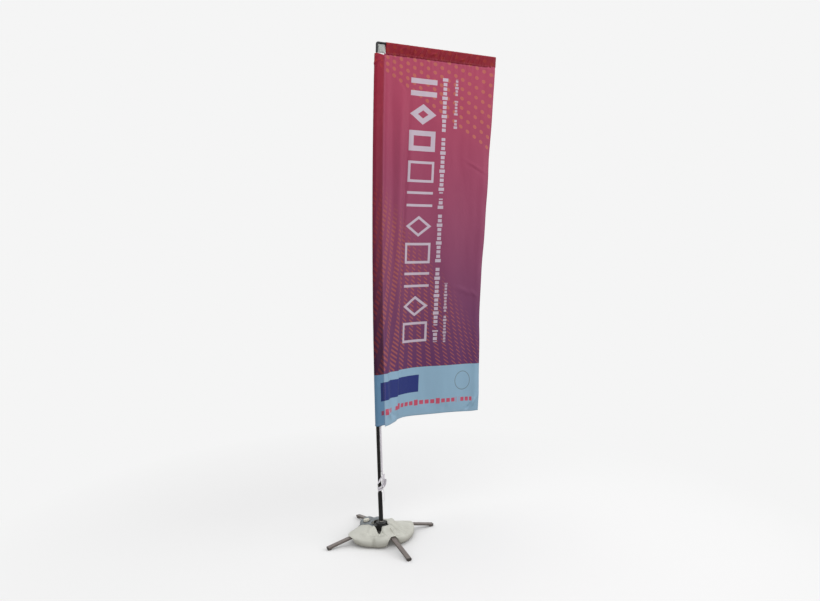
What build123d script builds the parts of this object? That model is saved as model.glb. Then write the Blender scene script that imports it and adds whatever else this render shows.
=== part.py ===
"""Banner flag on a mast with a top arm, standing on a folding four-legged base with a water bag.

Frame: origin on the floor under the spindle, +Z up, +X along the top arm and leg B, +Y along leg A.
Legs B, A, C and D point along +X, +Y, -X and -Y. All sizes are in millimetres.
"""

from build123d import *
from math import acos, atan, cos, degrees, radians, sin, sqrt, tan
import os

os.makedirs("parts", exist_ok=True)

# --- driving dimensions: legs and hub ---------------------------------------------------------
leg_angles = {"b": 0, "a": 90, "c": 180, "d": 270}
leg_reach = 335.5          # spindle axis to the middle of a leg's end
leg_end_height = 10.0      # middle of a leg's end above the floor
leg_apex_height = 82.0     # where the legs' centre lines meet on the spindle axis
leg_width, leg_thick, leg_wall = 25.0, 12.0, 1.5
pivot_radius = 58.0        # spindle axis to a leg's pivot
pivot_pin_radius = 3.0
running_gap = 0.05         # radial clearance of pins in their holes
knuckle_length = 40.0
tube_start = 7.0           # pivot to the inner end of the leg tube
foot_flange = 6.0
clevis_gap, clevis_width = 25.6, 35.6
clevis_inner, clevis_outer = -9.9, 16.0
hub_arm_back, hub_arm_height, hub_arm_rise = 38.0, 18.0, 0.5
clevis_gap_height, clevis_gap_drop = 26.2, 6.9
bolt_head_half, bolt_head_height, nut_height, bolt_overrun = 5.0, 4.0, 4.5, 5.0
thread_gap = 0.02          # radial gap between a nut and its bolt
boss_radius, boss_low, boss_high = 30.0, 50.0, 94.0

# --- driving dimensions: spindle and socket ---------------------------------------------------
spindle_radius, spindle_low, spindle_high = 6.0, 35.0, 186.0
collar_radius, collar_high = 14.0, 98.0
washer_radius, washer_gap = 12.0, 0.2
groove_depth = 0.6         # circlip groove in the spindle
socket_radius, socket_bore, socket_low, socket_high = 12.5, 10.0, 100.2, 265.0
bearing_height = 14.0
stop_low, stop_high = 188.0, 191.0

# --- driving dimensions: mast and arm ---------------------------------------------------------
bow_radius = 35000.0       # the mast bows towards the flag from the top of the socket upwards
mast_foot = 191.3
joint_low_height, joint_high_height = 1150.0, 1960.0
joint_overlap = 90.0
mast_lower_radius, mast_middle_radius, mast_upper_radius, arm_radius = 9.5, 7.5, 5.0, 4.5
corner_height = 2793.5     # where the mast's and the arm's centre lines meet
elbow_radius, elbow_leg = 6.75, 52.0
arm_droop = 1.45           # degrees below level
arm_end = 880.0            # spindle axis to the end of the arm

# --- driving dimensions: flag -----------------------------------------------------------------
cloth = 1.2
sleeve_radius, sleeve_width = 13.0, 60.0
sleeve_bottom, sleeve_top = 651.0, 2735.0
field_bottom, field_top = 642.0, 2734.0
field_reach = 803.0        # mast sleeve's outer edge to the flag's free edge, along the cloth

# --- driving dimensions: water bag ------------------------------------------------------------
bag_floor_gap = 2.0
bag_leg_reach = {0: 200.0, 90: 197.0, 180: 200.0, 270: 150.0}
bag_floor_sag = {0: 44.0, 90: 42.0, 180: 18.0, 270: 12.0}
bag_top_sag = {0: 96.0, 90: 56.0, 180: 50.0, 270: 34.0}
bag_top_level = 104.0
bag_top_profile = [(35.0, 104.0), (75.0, 92.5), (120.0, 73.5), (160.0, 61.5), (215.0, 50.0)]
bag_gap = 2.0              # between the bag and a leg tube's top
hub_pocket_reach, hub_pocket_width, hub_pocket_high = 80.0, 52.0, 86.0
slit_half = 15.0
cap_centre = (-57.0, 76.0, 78.0)
cap_tilt = 12.0

slope = atan((leg_apex_height - leg_end_height) / leg_reach)
pivot_height = leg_apex_height - pivot_radius * tan(slope)
leg_length = (leg_reach - pivot_radius) / cos(slope)


def save(piece, label):
    """Labels a finished piece and writes its STEP file."""
    piece.part.label = label
    export_step(piece.part, f"parts/{label}.step")


def leg_plane(angle, along=0.0, up=0.0):
    """Plane square to a leg at a distance from its pivot: x across the leg, y up out of it, z outwards."""
    turn = radians(angle)
    radius = pivot_radius + along * cos(slope) + up * sin(slope)
    height = pivot_height - along * sin(slope) + up * cos(slope)
    origin = (radius * cos(turn), radius * sin(turn), height)
    outwards = (cos(turn) * cos(slope), sin(turn) * cos(slope), -sin(slope))
    return Plane(origin=origin, x_dir=(-sin(turn), cos(turn), 0), z_dir=outwards)


def pivot_plane(angle):
    """Plane through a leg's pivot: x outwards along the leg, z across it along the pivot bolt."""
    turn = radians(angle)
    origin = (pivot_radius * cos(turn), pivot_radius * sin(turn), pivot_height)
    outwards = (cos(turn) * cos(slope), sin(turn) * cos(slope), -sin(slope))
    return Plane(origin=origin, x_dir=outwards, z_dir=(sin(turn), -cos(turn), 0))


def upright_plane(angle):
    """Upright plane through the spindle axis: x is the radius, y is up."""
    turn = radians(angle)
    return Plane(origin=(0, 0, 0), x_dir=(cos(turn), sin(turn), 0), z_dir=(sin(turn), -cos(turn), 0))


def ring(outer, inner, low, high):
    """Adds a plain ring about the spindle axis to the part being built, or a disc when inner is 0."""
    with BuildSketch(Plane.XY.offset(low)) as profile:
        Circle(outer)
        if inner:
            Circle(inner, mode=Mode.SUBTRACT)
    extrude(profile.sketch, amount=high - low)


# --- hub --------------------------------------------------------------------------------------
with BuildPart() as hub_body:
    ring(boss_radius, 0, boss_low, boss_high)
    for leg_angle in leg_angles.values():
        with BuildSketch(leg_plane(leg_angle, -hub_arm_back)):
            with Locations((0, hub_arm_rise)):
                Rectangle(clevis_width, hub_arm_height)
        extrude(amount=hub_arm_back + clevis_outer)
    for leg_angle in leg_angles.values():
        with BuildSketch(leg_plane(leg_angle, clevis_inner)):
            with Locations((0, -clevis_gap_drop)):
                Rectangle(clevis_gap, clevis_gap_height)
        extrude(amount=40, mode=Mode.SUBTRACT)
        with BuildSketch(pivot_plane(leg_angle).offset(-clevis_width / 2)):
            Circle(pivot_pin_radius + running_gap)
        extrude(amount=clevis_width, mode=Mode.SUBTRACT)
    with BuildSketch(Plane.XY.offset(boss_high)):
        Circle(boss_radius + 20)
    extrude(amount=20, mode=Mode.SUBTRACT)
    ring_edges = hub_body.edges().filter_by(GeomType.CIRCLE).group_by(Axis.Z)[-1]
    chamfer(ring_edges.sort_by(SortBy.RADIUS)[-1:], 2.5)
    with BuildSketch(Plane.XY.offset(boss_low)):
        Circle(spindle_radius + running_gap)
    extrude(amount=boss_high - boss_low, mode=Mode.SUBTRACT)
save(hub_body, "hub_body")

# --- spindle, its nut and washers, and the circlip --------------------------------------------
circlip_low, circlip_high = 179.2, 180.4
with BuildPart() as spindle:
    ring(spindle_radius, 0, spindle_low, spindle_high)
    ring(collar_radius, 0, boss_high, collar_high)
    chamfer(spindle.edges().filter_by(GeomType.CIRCLE).group_by(Axis.Z)[-1], 1.0)
    with BuildSketch(Plane.XY.offset(circlip_low - 0.1)):
        Circle(spindle_radius + 1)
        Circle(spindle_radius - groove_depth, mode=Mode.SUBTRACT)
    extrude(amount=circlip_high - circlip_low + 0.2, mode=Mode.SUBTRACT)
save(spindle, "spindle")

with BuildPart() as spindle_washer:
    ring(washer_radius, spindle_radius + washer_gap, boss_low - 2, boss_low)
save(spindle_washer, "spindle_washer")

with BuildPart() as spindle_nut:
    with BuildSketch(Plane.XY.offset(boss_low - 12)):
        RegularPolygon(9.5, 6, major_radius=False)
        Circle(spindle_radius + thread_gap, mode=Mode.SUBTRACT)
    extrude(amount=10)
save(spindle_nut, "spindle_nut")

with BuildPart() as thrust_washer:
    ring(washer_radius, spindle_radius + washer_gap, collar_high, socket_low - 0.2)
save(thrust_washer, "thrust_washer")

with BuildPart() as circlip:
    with BuildSketch(Plane.XY.offset(circlip_low)):
        Circle(8.2)
        Circle(spindle_radius - groove_depth + 0.1, mode=Mode.SUBTRACT)
        with Locations((8, 0)):
            Rectangle(9, 5, mode=Mode.SUBTRACT)
    extrude(amount=circlip_high - circlip_low)
save(circlip, "circlip")

# --- pivot bolts and nuts, one of each for every leg ------------------------------------------
bolt_start = clevis_width / 2
with BuildPart() as pivot_bolts:
    for leg_angle in leg_angles.values():
        with BuildSketch(pivot_plane(leg_angle).offset(-bolt_start - bolt_overrun)):
            Circle(pivot_pin_radius)
        extrude(amount=clevis_width + bolt_overrun)
        with BuildSketch(pivot_plane(leg_angle).offset(bolt_start)):
            RegularPolygon(bolt_head_half, 6, major_radius=False)
        extrude(amount=bolt_head_height)
save(pivot_bolts, "pivot_bolts")

with BuildPart() as pivot_nuts:
    for leg_angle in leg_angles.values():
        with BuildSketch(pivot_plane(leg_angle).offset(-bolt_start - nut_height)):
            RegularPolygon(bolt_head_half, 6, major_radius=False)
            Circle(pivot_pin_radius + thread_gap, mode=Mode.SUBTRACT)
        extrude(amount=nut_height)
save(pivot_nuts, "pivot_nuts")

# --- legs -------------------------------------------------------------------------------------
tube_end = leg_length - foot_flange
for leg, leg_angle in leg_angles.items():
    with BuildPart() as leg_tube:
        with BuildSketch(leg_plane(leg_angle, tube_start)):
            RectangleRounded(leg_width, leg_thick, 2.0)
            RectangleRounded(leg_width - 2 * leg_wall, leg_thick - 2 * leg_wall, 0.8, mode=Mode.SUBTRACT)
        extrude(amount=tube_end - tube_start)
    save(leg_tube, f"leg_tube_{leg}")

    tongue_width = leg_width - 2 * leg_wall - 0.2
    tongue_thick = leg_thick - 2 * leg_wall - 0.2
    with BuildPart() as leg_knuckle:
        with BuildSketch(pivot_plane(leg_angle).offset(-leg_width / 2)):
            with BuildLine():
                Line((0, leg_thick / 2), (tube_start, leg_thick / 2))
                Line((tube_start, leg_thick / 2), (tube_start, -leg_thick / 2))
                Line((tube_start, -leg_thick / 2), (0, -leg_thick / 2))
                ThreePointArc((0, -leg_thick / 2), (-leg_thick / 2, 0), (0, leg_thick / 2))
            make_face()
        extrude(amount=leg_width)
        with BuildSketch(leg_plane(leg_angle, tube_start)):
            RectangleRounded(tongue_width, tongue_thick, 1.2)
        extrude(amount=knuckle_length)
        with BuildSketch(pivot_plane(leg_angle).offset(-leg_width / 2)):
            Circle(pivot_pin_radius + running_gap)
        extrude(amount=leg_width, mode=Mode.SUBTRACT)
    save(leg_knuckle, f"leg_knuckle_{leg}")

    under = -leg_thick / 2
    pad_back, pad_front = leg_length - 22, leg_length
    with BuildPart() as foot_cap:
        with BuildSketch(leg_plane(leg_angle, tube_end)):
            RectangleRounded(leg_width, leg_thick, 2.0)
        extrude(amount=foot_flange)
        with BuildSketch(leg_plane(leg_angle, tube_end - 20)):
            RectangleRounded(tongue_width, tongue_thick, 1.2)
        extrude(amount=20)
        with BuildSketch(upright_plane(leg_angle).offset(-9)):
            with BuildLine():
                back = (
                    pivot_radius + pad_back * cos(slope) + under * sin(slope),
                    pivot_height - pad_back * sin(slope) + under * cos(slope) - 0.02,
                )
                front = (
                    pivot_radius + pad_front * cos(slope) + under * sin(slope),
                    pivot_height - pad_front * sin(slope) + under * cos(slope),
                )
                Polyline(back, (back[0] + 2, 0), (front[0] - 1, 0), front, (front[0] - 3, front[1] + 3),
                         (front[0] - 5.4, front[1] + 3),
                         (front[0] - 5.4, front[1] + 5.4 * tan(slope) - 0.02), close=True)
            make_face()
        extrude(amount=18)
    save(foot_cap, f"foot_cap_{leg}")

# --- turning socket ---------------------------------------------------------------------------
with BuildPart() as socket_tube:
    ring(socket_radius, socket_bore, socket_low, socket_high)
    chamfer(socket_tube.edges().filter_by(GeomType.CIRCLE).group_by(Axis.Z)[-1], 0.8)
save(socket_tube, "socket_tube")

bearing_lows = {"lower_bearing": socket_low + 1, "upper_bearing": circlip_low - 0.2 - bearing_height}
for name, low in bearing_lows.items():
    with BuildPart() as bearing:
        ring(socket_bore - 0.03, spindle_radius + running_gap, low, low + bearing_height)
    save(bearing, name)

with BuildPart() as mast_stop:
    ring(socket_bore - 0.03, 0, stop_low, stop_high)
save(mast_stop, "mast_stop")

# --- mast sections along the bow --------------------------------------------------------------
# Above the socket the mast's places are measured along its centre line, which at the top corner is
# 2 mm more than the true height.


def bow_offset(height):
    """How far the mast's centre line has moved along +X at a true height."""
    rise = max(height - socket_high, 0.0)
    return bow_radius - sqrt(bow_radius**2 - rise**2)


def bow_turn(height):
    """The mast's lean in degrees at a place along it."""
    return degrees((height - socket_high) / bow_radius) if height > socket_high else 0.0


def bow_path(low, high):
    """Centre line of the bowed mast between two places along it, both above the socket."""
    turn_low, turn_high = bow_turn(low), bow_turn(high)
    with BuildLine(Plane.XZ) as path:
        CenterArc((bow_radius, socket_high), bow_radius, 180 - turn_low, turn_low - turn_high)
    return path.line


def mast_plane(height):
    """Plane square to the mast at a place along it: x towards the flag, z up the mast."""
    lean = radians(bow_turn(height))
    rise = bow_radius * sin(lean) + socket_high if height > socket_high else height
    return Plane(origin=(bow_offset(rise), 0, rise), x_dir=(cos(lean), 0, -sin(lean)),
                 z_dir=(sin(lean), 0, cos(lean)))


def bowed_tube(outer, inner, low, high):
    """Adds a round tube that follows the bow, both ends above the socket."""
    with BuildSketch(mast_plane(low)) as profile:
        Circle(outer)
        if inner:
            Circle(inner, mode=Mode.SUBTRACT)
    sweep(profile.sketch, path=bow_path(low, high))


lower_bore = mast_middle_radius + 0.15
middle_bore = mast_upper_radius + 0.15
with BuildPart() as mast_lower:
    ring(mast_lower_radius, lower_bore, mast_foot + 3, socket_high)
    bowed_tube(mast_lower_radius, lower_bore, socket_high, joint_low_height)
save(mast_lower, "mast_lower")

with BuildPart() as mast_foot_plug:
    ring(mast_lower_radius, 0, mast_foot, mast_foot + 2.98)
    ring(lower_bore - 0.05, 0, mast_foot, mast_foot + 18)
save(mast_foot_plug, "mast_foot_plug")

with BuildPart() as mast_middle:
    bowed_tube(mast_middle_radius, middle_bore, joint_low_height - joint_overlap, joint_high_height)
save(mast_middle, "mast_middle")

mast_top = corner_height - elbow_radius - 2
with BuildPart() as mast_upper:
    bowed_tube(mast_upper_radius, 0, joint_high_height - joint_overlap, mast_top)
save(mast_upper, "mast_upper")

ferrules = {
    "lower_ferrule": (joint_low_height, mast_lower_radius, 11.0),
    "upper_ferrule": (joint_high_height, mast_middle_radius, 9.0),
}
for name, (top, inner, outer) in ferrules.items():
    with BuildPart() as ferrule:
        bowed_tube(outer, inner + 0.05, top - 30, top)
    save(ferrule, name)

# --- top corner elbow, arm and its end cap ----------------------------------------------------
corner_x = bow_offset(corner_height)
corner_lean = (corner_height - socket_high) / bow_radius
droop = radians(arm_droop)
mast_down = Vector(-sin(corner_lean), 0, -cos(corner_lean))
arm_out = Vector(cos(droop), 0, -sin(droop))
corner = Vector(corner_x, 0, corner_height)


def arm_plane(along, down=0.0):
    """Plane square to the arm at a distance from the corner: x sideways, y up, z outwards."""
    origin = corner + arm_out * along - Vector(sin(droop), 0, cos(droop)) * down
    return Plane(origin=origin, x_dir=(0, 1, 0), z_dir=arm_out)


with BuildPart() as corner_elbow:
    with BuildLine() as elbow_path:
        FilletPolyline(corner + mast_down * elbow_leg, corner, corner + arm_out * elbow_leg, radius=7.5)
    with BuildSketch(Plane(origin=elbow_path.line @ 0, z_dir=elbow_path.line % 0)):
        Circle(elbow_radius)
    sweep(path=elbow_path.line)
    with BuildSketch(Plane(origin=corner + mast_down * (elbow_leg + 1), z_dir=-mast_down)):
        Circle(mast_upper_radius + 0.15)
    extrude(amount=elbow_leg - elbow_radius, mode=Mode.SUBTRACT)
    with BuildSketch(arm_plane(elbow_leg + 1)):
        Circle(arm_radius + 0.15)
    extrude(amount=-(elbow_leg - 8), mode=Mode.SUBTRACT)
save(corner_elbow, "corner_elbow")

arm_start = 10.5
arm_length = (arm_end - corner_x) / cos(droop) - 4
with BuildPart() as top_arm:
    with BuildSketch(arm_plane(arm_start)):
        Circle(arm_radius)
    extrude(amount=arm_length - arm_start)
save(top_arm, "top_arm")

with BuildPart() as arm_end_cap:
    with BuildSketch(arm_plane(arm_length - 14)):
        Circle(arm_radius + 1.6)
        Circle(arm_radius + 0.05, mode=Mode.SUBTRACT)
    extrude(amount=14.1)
    with BuildSketch(arm_plane(arm_length + 0.1)):
        Circle(arm_radius + 1.6)
    extrude(amount=3)
save(arm_end_cap, "arm_end_cap")

# --- flag: sleeves, field, corner patch and hem tab -------------------------------------------
seam_reach = sleeve_width - sleeve_radius
seam_thin = cloth / 2
tip_back = cloth / (sleeve_radius / seam_reach)


def teardrop(radius, reach, mode=Mode.ADD):
    """Adds a teardrop outline to the sketch: round about the pole, closing to a seam towards +X."""
    touch = acos(radius / reach)
    high = (radius * cos(touch), radius * sin(touch))
    low = (high[0], -high[1])
    with BuildLine() as outline:
        Polyline(high, (reach, seam_thin), (reach, -seam_thin), low)
        ThreePointArc(low, (-radius, 0), high)
    make_face(outline.edges(), mode=mode)


with BuildPart() as mast_sleeve:
    with BuildSketch(mast_plane(sleeve_bottom)):
        teardrop(sleeve_radius, seam_reach)
        teardrop(sleeve_radius - cloth, seam_reach - tip_back, Mode.SUBTRACT)
    sweep(path=bow_path(sleeve_bottom, sleeve_top))
save(mast_sleeve, "mast_sleeve")

arm_sleeve_radius = 8.0
arm_sleeve_reach = 57.5
arm_sleeve_start = elbow_leg + 0.5
arm_seam_back = cloth / (arm_sleeve_radius / arm_sleeve_reach)
with BuildPart() as top_sleeve:
    sleeve_frame = arm_plane(arm_sleeve_start)
    with BuildSketch(Plane(origin=sleeve_frame.origin, x_dir=-sleeve_frame.y_dir, z_dir=arm_out)):
        teardrop(arm_sleeve_radius, arm_sleeve_reach)
        teardrop(arm_sleeve_radius - cloth, arm_sleeve_reach - arm_seam_back, Mode.SUBTRACT)
    extrude(amount=arm_length + 4 - arm_sleeve_start)
save(top_sleeve, "top_sleeve")

# The field is straight in plan at the top and swings back in an S towards the bottom hem. Each row
# gives a place along the cloth, the distance from the mast there, and how far the hem lies back.
field_rows = [(0.00, 48.5, 0), (0.10, 118, 52), (0.24, 214, 132), (0.34, 290, 160),
              (0.55, 455, 148), (0.78, 620, 121), (1.00, 752, 100)]
field_levels = [field_bottom, 1050, 1550, 2150, field_top]
field_free_edge = field_reach - sleeve_radius


def field_line(height, side):
    """One face of the field at a height, as points running from the mast to the free edge."""
    swing = ((field_top - height) / (field_top - field_bottom)) ** 1.6
    points = []
    for share, hem_x, hem_y in field_rows:
        straight_x = 48.5 + share * (field_free_edge - 48.5)
        x = straight_x + swing * (hem_x - straight_x)
        points.append((x, swing * hem_y + side * cloth / 2))
    return points


with BuildPart() as flag_field:
    for level in field_levels:
        level_origin = (bow_offset(level), 0, level)
        droop_plane = Plane(origin=level_origin, x_dir=arm_out, z_dir=(sin(droop), 0, cos(droop)))
        with BuildSketch(droop_plane):
            with BuildLine():
                near = Spline(*field_line(level, -1))
                far = Spline(*field_line(level, 1))
                Line(near @ 0, far @ 0)
                Line(near @ 1, far @ 1)
            make_face()
    loft()
save(flag_field, "flag_field")

patch_wide, patch_high = 42.0, 46.0
with BuildPart() as corner_patch:
    patch_plane = arm_plane(elbow_radius + 2 + patch_wide / 2, elbow_radius + 1.5 + patch_high / 2)
    with BuildSketch(Plane(origin=patch_plane.origin, x_dir=arm_out, z_dir=(0, -1, 0)).offset(-cloth)):
        RectangleRounded(patch_wide, patch_high, 2)
    extrude(amount=2 * cloth)
save(corner_patch, "corner_patch")

strap_x = bow_offset(sleeve_bottom) + 17.0
strap_wide, strap_thin = 12.0, 1.6
tab_low, tab_high = sleeve_bottom + 4, sleeve_bottom + 40
meet_gap = 0.1
with BuildPart() as hem_tab:
    with BuildSketch(Plane.XY.offset(tab_low + meet_gap)):
        with Locations((strap_x, 0)):
            Rectangle(strap_wide, strap_thin)
    extrude(amount=tab_high - tab_low)
save(hem_tab, "hem_tab")

# --- tension strap, its knot round the mast, and the tail -------------------------------------
knot_low, knot_high = 270.0, 384.0
strap_route = [(strap_x, 0, tab_low), (strap_x - 1.0, -1.0, 580), (strap_x - 2.2, -2.4, 480),
               (15.8, -4.2, knot_high + meet_gap)]
tail_route = [(18.0, -8.0, 288), (21.2, -9.4, 268), (23.0, -10.2, 246), (21.4, -9.5, 226), (18.8, -8.3, 209)]
tail_wide = 8.0


def route_radii(points):
    """Corner radii for a cord's route: each arc as large as its two runs allow."""
    radii = []
    for before, here, after in zip(points, points[1:], points[2:]):
        run_in, run_out = Vector(*here) - Vector(*before), Vector(*after) - Vector(*here)
        half_turn = radians(run_in.get_angle(run_out) / 2)
        radii.append(0.45 * min(run_in.length, run_out.length) / tan(half_turn))
    return radii


def flat_cord(route, wide, thin, across):
    """Adds a flat cord along a route of runs and tangent arcs; across is its width's direction."""
    with BuildLine() as path:
        FilletPolyline(*route, radius=route_radii(route))
    line = path.wire()
    start = line % 0
    start_plane = Plane(origin=line @ 0, x_dir=across - start * across.dot(start), z_dir=start)
    with BuildSketch(start_plane) as profile:
        Rectangle(wide, thin)
    sweep(profile.sketch, path=line)


with BuildPart() as tension_strap:
    flat_cord(strap_route, strap_wide, strap_thin, Vector(1, 0, 0))
save(tension_strap, "tension_strap")

with BuildPart() as strap_tail:
    flat_cord(tail_route, tail_wide, strap_thin, Vector(0.41, 0.91, 0))
save(strap_tail, "strap_tail")

knot_clear = mast_lower_radius + 0.4
with BuildPart() as strap_knot:
    ring(knot_clear + 4, knot_clear, knot_low + 2, knot_low + 32)
    with BuildSketch(Plane.XY.offset(knot_low + 20)):
        with Locations((17, -4)):
            Ellipse(9, 7)
    with BuildSketch(Plane.XY.offset((knot_low + knot_high) / 2 + 8)):
        with Locations((17, -5)):
            Ellipse(13, 9)
    with BuildSketch(Plane.XY.offset(knot_high)):
        with Locations((15, -4)):
            Ellipse(7, 3)
    loft()
    with BuildSketch(Plane.XY.offset(knot_low)):
        Circle(knot_clear)
    extrude(amount=knot_high - knot_low + 5, mode=Mode.SUBTRACT)
save(strap_knot, "strap_knot")

# --- water bag --------------------------------------------------------------------------------
bag_hole = [(0, 38), (40, 40), (90, 46), (135, 52), (180, 62), (220, 74), (243, 94), (270, 62), (320, 42)]


def polar(angle, radius):
    """Point in plan at an angle in degrees and a radius from the spindle axis."""
    return (radius * cos(radians(angle)), radius * sin(radians(angle)))


def bag_outline(sag):
    """Plan outline of the bag: full reach over each leg, sagging back between them."""
    points = []
    for step in range(16):
        angle = step * 22.5
        quarter = int(angle // 90) * 90
        blend = (angle - quarter) / 90
        reach = bag_leg_reach[quarter] * (1 - blend) + bag_leg_reach[(quarter + 90) % 360] * blend
        points.append(polar(angle, reach - sag[quarter] * sin(radians(2 * angle)) ** 2))
    return points


with BuildPart() as whole_bag:
    with BuildSketch(Plane.XY.offset(bag_floor_gap)):
        with BuildLine():
            Spline(*bag_outline(bag_floor_sag), periodic=True)
        make_face()
    with BuildSketch(Plane.XY.offset(bag_top_level)):
        with BuildLine():
            Spline(*bag_outline(bag_top_sag), periodic=True)
        make_face()
    loft()
    with BuildSketch(Plane.XZ):
        with BuildLine():
            Polyline((0, -10), (0, bag_top_level), bag_top_profile[0])
            Spline(*bag_top_profile)
            Polyline(bag_top_profile[-1], (bag_top_profile[-1][0], -10), (0, -10))
        make_face()
    revolve(axis=Axis.Z, mode=Mode.INTERSECT)
    with BuildSketch(Plane.XY):
        with BuildLine():
            Spline(*[polar(*place) for place in bag_hole], periodic=True)
        make_face()
    extrude(amount=120, mode=Mode.SUBTRACT)
    for leg_angle in leg_angles.values():
        with BuildSketch(leg_plane(leg_angle, -20)):
            with Locations((0, -90 + leg_thick / 2 + bag_gap)):
                Rectangle(2 * slit_half, 180)
        extrude(amount=220, mode=Mode.SUBTRACT)
        with BuildSketch(upright_plane(leg_angle).offset(-hub_pocket_width / 2)):
            with Locations((hub_pocket_reach / 2, hub_pocket_high / 2)):
                Rectangle(hub_pocket_reach, hub_pocket_high)
        extrude(amount=hub_pocket_width, mode=Mode.SUBTRACT)
    with BuildSketch(Plane.XY):
        with Locations((0, -110)):
            Rectangle(2 * slit_half, 220)
    extrude(amount=120, mode=Mode.SUBTRACT)

# The slate panel fills the back left, from a slanting seam beside leg C round to just past leg A.
panel_edge_low, panel_edge_high = Vector(-60, -2, 0), Vector(-124, 106, 0)
panel_right = 24.0
panel_direction = (panel_edge_high - panel_edge_low).normalized()
panel_outline = [
    panel_edge_low - panel_direction * 20,
    panel_edge_high + panel_direction * 120,
    Vector(panel_right, 240, 0),
    Vector(panel_right, 20, 0),
]
cap_turn = atan(-cap_centre[1] / cap_centre[0])
cap_up = Vector(-sin(radians(cap_tilt)) * cos(cap_turn), sin(radians(cap_tilt)) * sin(cap_turn),
                cos(radians(cap_tilt)))
cap_plane = Plane(origin=cap_centre, z_dir=cap_up)
flange_radius, neck_radius, neck_bore = 22.0, 13.0, 10.0

with BuildPart() as bag_filler_panel:
    add(whole_bag.part)
    with BuildSketch(Plane.XY):
        Polygon(*[(corner_point.X, corner_point.Y) for corner_point in panel_outline], align=None)
    extrude(amount=120, mode=Mode.INTERSECT)
    with BuildSketch(cap_plane):
        Circle(flange_radius + 1)
    extrude(amount=40, mode=Mode.SUBTRACT)
    with BuildSketch(cap_plane.offset(-6)):
        Circle(neck_radius + 0.3)
    extrude(amount=10, mode=Mode.SUBTRACT)
save(bag_filler_panel, "bag_filler_panel")

# The light grey skin is the rest of the ring: the slit over leg D parts it into two chambers.
with BuildPart() as light_skin:
    add(whole_bag.part)
    with BuildSketch(Plane.XY):
        Polygon(*[(corner_point.X, corner_point.Y) for corner_point in panel_outline], align=None)
    extrude(amount=120, mode=Mode.SUBTRACT)
chambers = light_skin.part.solids().sort_by(Axis.X)
with BuildPart() as bag_front_chamber:
    add(chambers[0])
save(bag_front_chamber, "bag_front_chamber")
with BuildPart() as bag_right_chamber:
    add(chambers[-1])
save(bag_right_chamber, "bag_right_chamber")

# --- filler neck, seal and screw cap, square to the sloping panel -----------------------------
neck_high, seal_thick = 10.0, 1.6
cap_radius, cap_bore, cap_low, cap_high = 17.0, 13.6, 3.6, 15.2


def cap_ring(outer, inner, low, high, mode=Mode.ADD):
    """A ring about the filler's axis, or a disc when inner is 0."""
    with BuildSketch(cap_plane.offset(low)) as profile:
        Circle(outer)
        if inner:
            Circle(inner, mode=Mode.SUBTRACT)
    extrude(profile.sketch, amount=high - low, mode=mode)


with BuildPart() as filler_neck:
    cap_ring(flange_radius, neck_bore, 0.1, 2.4)
    cap_ring(neck_radius, neck_bore, -5.8, neck_high)
save(filler_neck, "filler_neck")

with BuildPart() as filler_seal:
    cap_ring(neck_radius, neck_bore, neck_high + 0.05, neck_high + seal_thick)
save(filler_seal, "filler_seal")

grip_count, grip_radius = 24, 1.0
with BuildPart() as filler_cap:
    cap_ring(cap_radius, 0, cap_low, cap_high)
    rim = filler_cap.edges().filter_by(GeomType.CIRCLE).sort_by(Axis(cap_centre, cap_up))[-1]
    chamfer(rim, 1.2)
    with BuildSketch(cap_plane.offset(cap_low)):
        with PolarLocations(cap_radius + 0.5, grip_count):
            Circle(grip_radius)
    extrude(amount=cap_high - cap_low - 2.5, mode=Mode.SUBTRACT)
    cap_ring(cap_bore, 0, cap_low, neck_high + seal_thick + 0.1, Mode.SUBTRACT)
save(filler_cap, "filler_cap")
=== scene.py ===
"""Looks of the banner flag: printed cloth, sleeves, strap, water bag and the finishes of the metal parts.

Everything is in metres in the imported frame: origin on the floor under the spindle, +Z up, +X along the
top arm. Cloth places are (u, v): u runs along the cloth from the mast sleeve's seam to the free edge,
v is the height at the mast.
"""

import math

import bmesh
import bpy
import numpy as np
from mathutils import Matrix, Vector, noise


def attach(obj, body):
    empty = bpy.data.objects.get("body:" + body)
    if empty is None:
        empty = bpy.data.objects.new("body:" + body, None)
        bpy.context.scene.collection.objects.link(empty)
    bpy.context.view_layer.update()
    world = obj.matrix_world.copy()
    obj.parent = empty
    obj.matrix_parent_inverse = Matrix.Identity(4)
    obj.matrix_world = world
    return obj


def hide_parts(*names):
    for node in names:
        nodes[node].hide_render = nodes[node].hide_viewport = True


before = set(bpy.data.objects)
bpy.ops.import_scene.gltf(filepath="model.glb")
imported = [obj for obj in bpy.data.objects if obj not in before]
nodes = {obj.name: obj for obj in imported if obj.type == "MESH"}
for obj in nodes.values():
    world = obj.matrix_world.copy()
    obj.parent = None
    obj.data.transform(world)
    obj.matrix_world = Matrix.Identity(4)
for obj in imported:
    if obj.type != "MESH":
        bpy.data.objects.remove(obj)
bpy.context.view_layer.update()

# --- sizes repeated from the CAD source, in metres ----------------------------------------------
leg_angles = {"b": 0, "a": 90, "c": 180, "d": 270}
leg_apex, leg_slope = 0.082, math.atan((0.082 - 0.010) / 0.3355)
leg_half_width, leg_half_thick = 0.0125, 0.006
bow_radius, socket_top = 35.0, 0.265
corner_height, arm_droop = 2.7935, math.radians(1.45)
sleeve_bottom, sleeve_top = 0.651, 2.735
sleeve_radius, sleeve_reach = 0.013, 0.047
arm_sleeve_radius, arm_sleeve_reach, arm_sleeve_start = 0.008, 0.0575, 0.0525
field_bottom, field_top = 0.642, 2.734
seam_x, free_x = 0.0485, 0.790
field_width = free_x - seam_x
cloth_thick = 0.0005
strap_width, strap_thick = 0.012, 0.0016
tail_width = 0.008
cap_centre, cap_tilt = Vector((-0.057, 0.076, 0.078)), math.radians(12)
cap_axis = Vector((-0.6 * math.sin(cap_tilt), 0.8 * math.sin(cap_tilt), math.cos(cap_tilt)))


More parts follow.
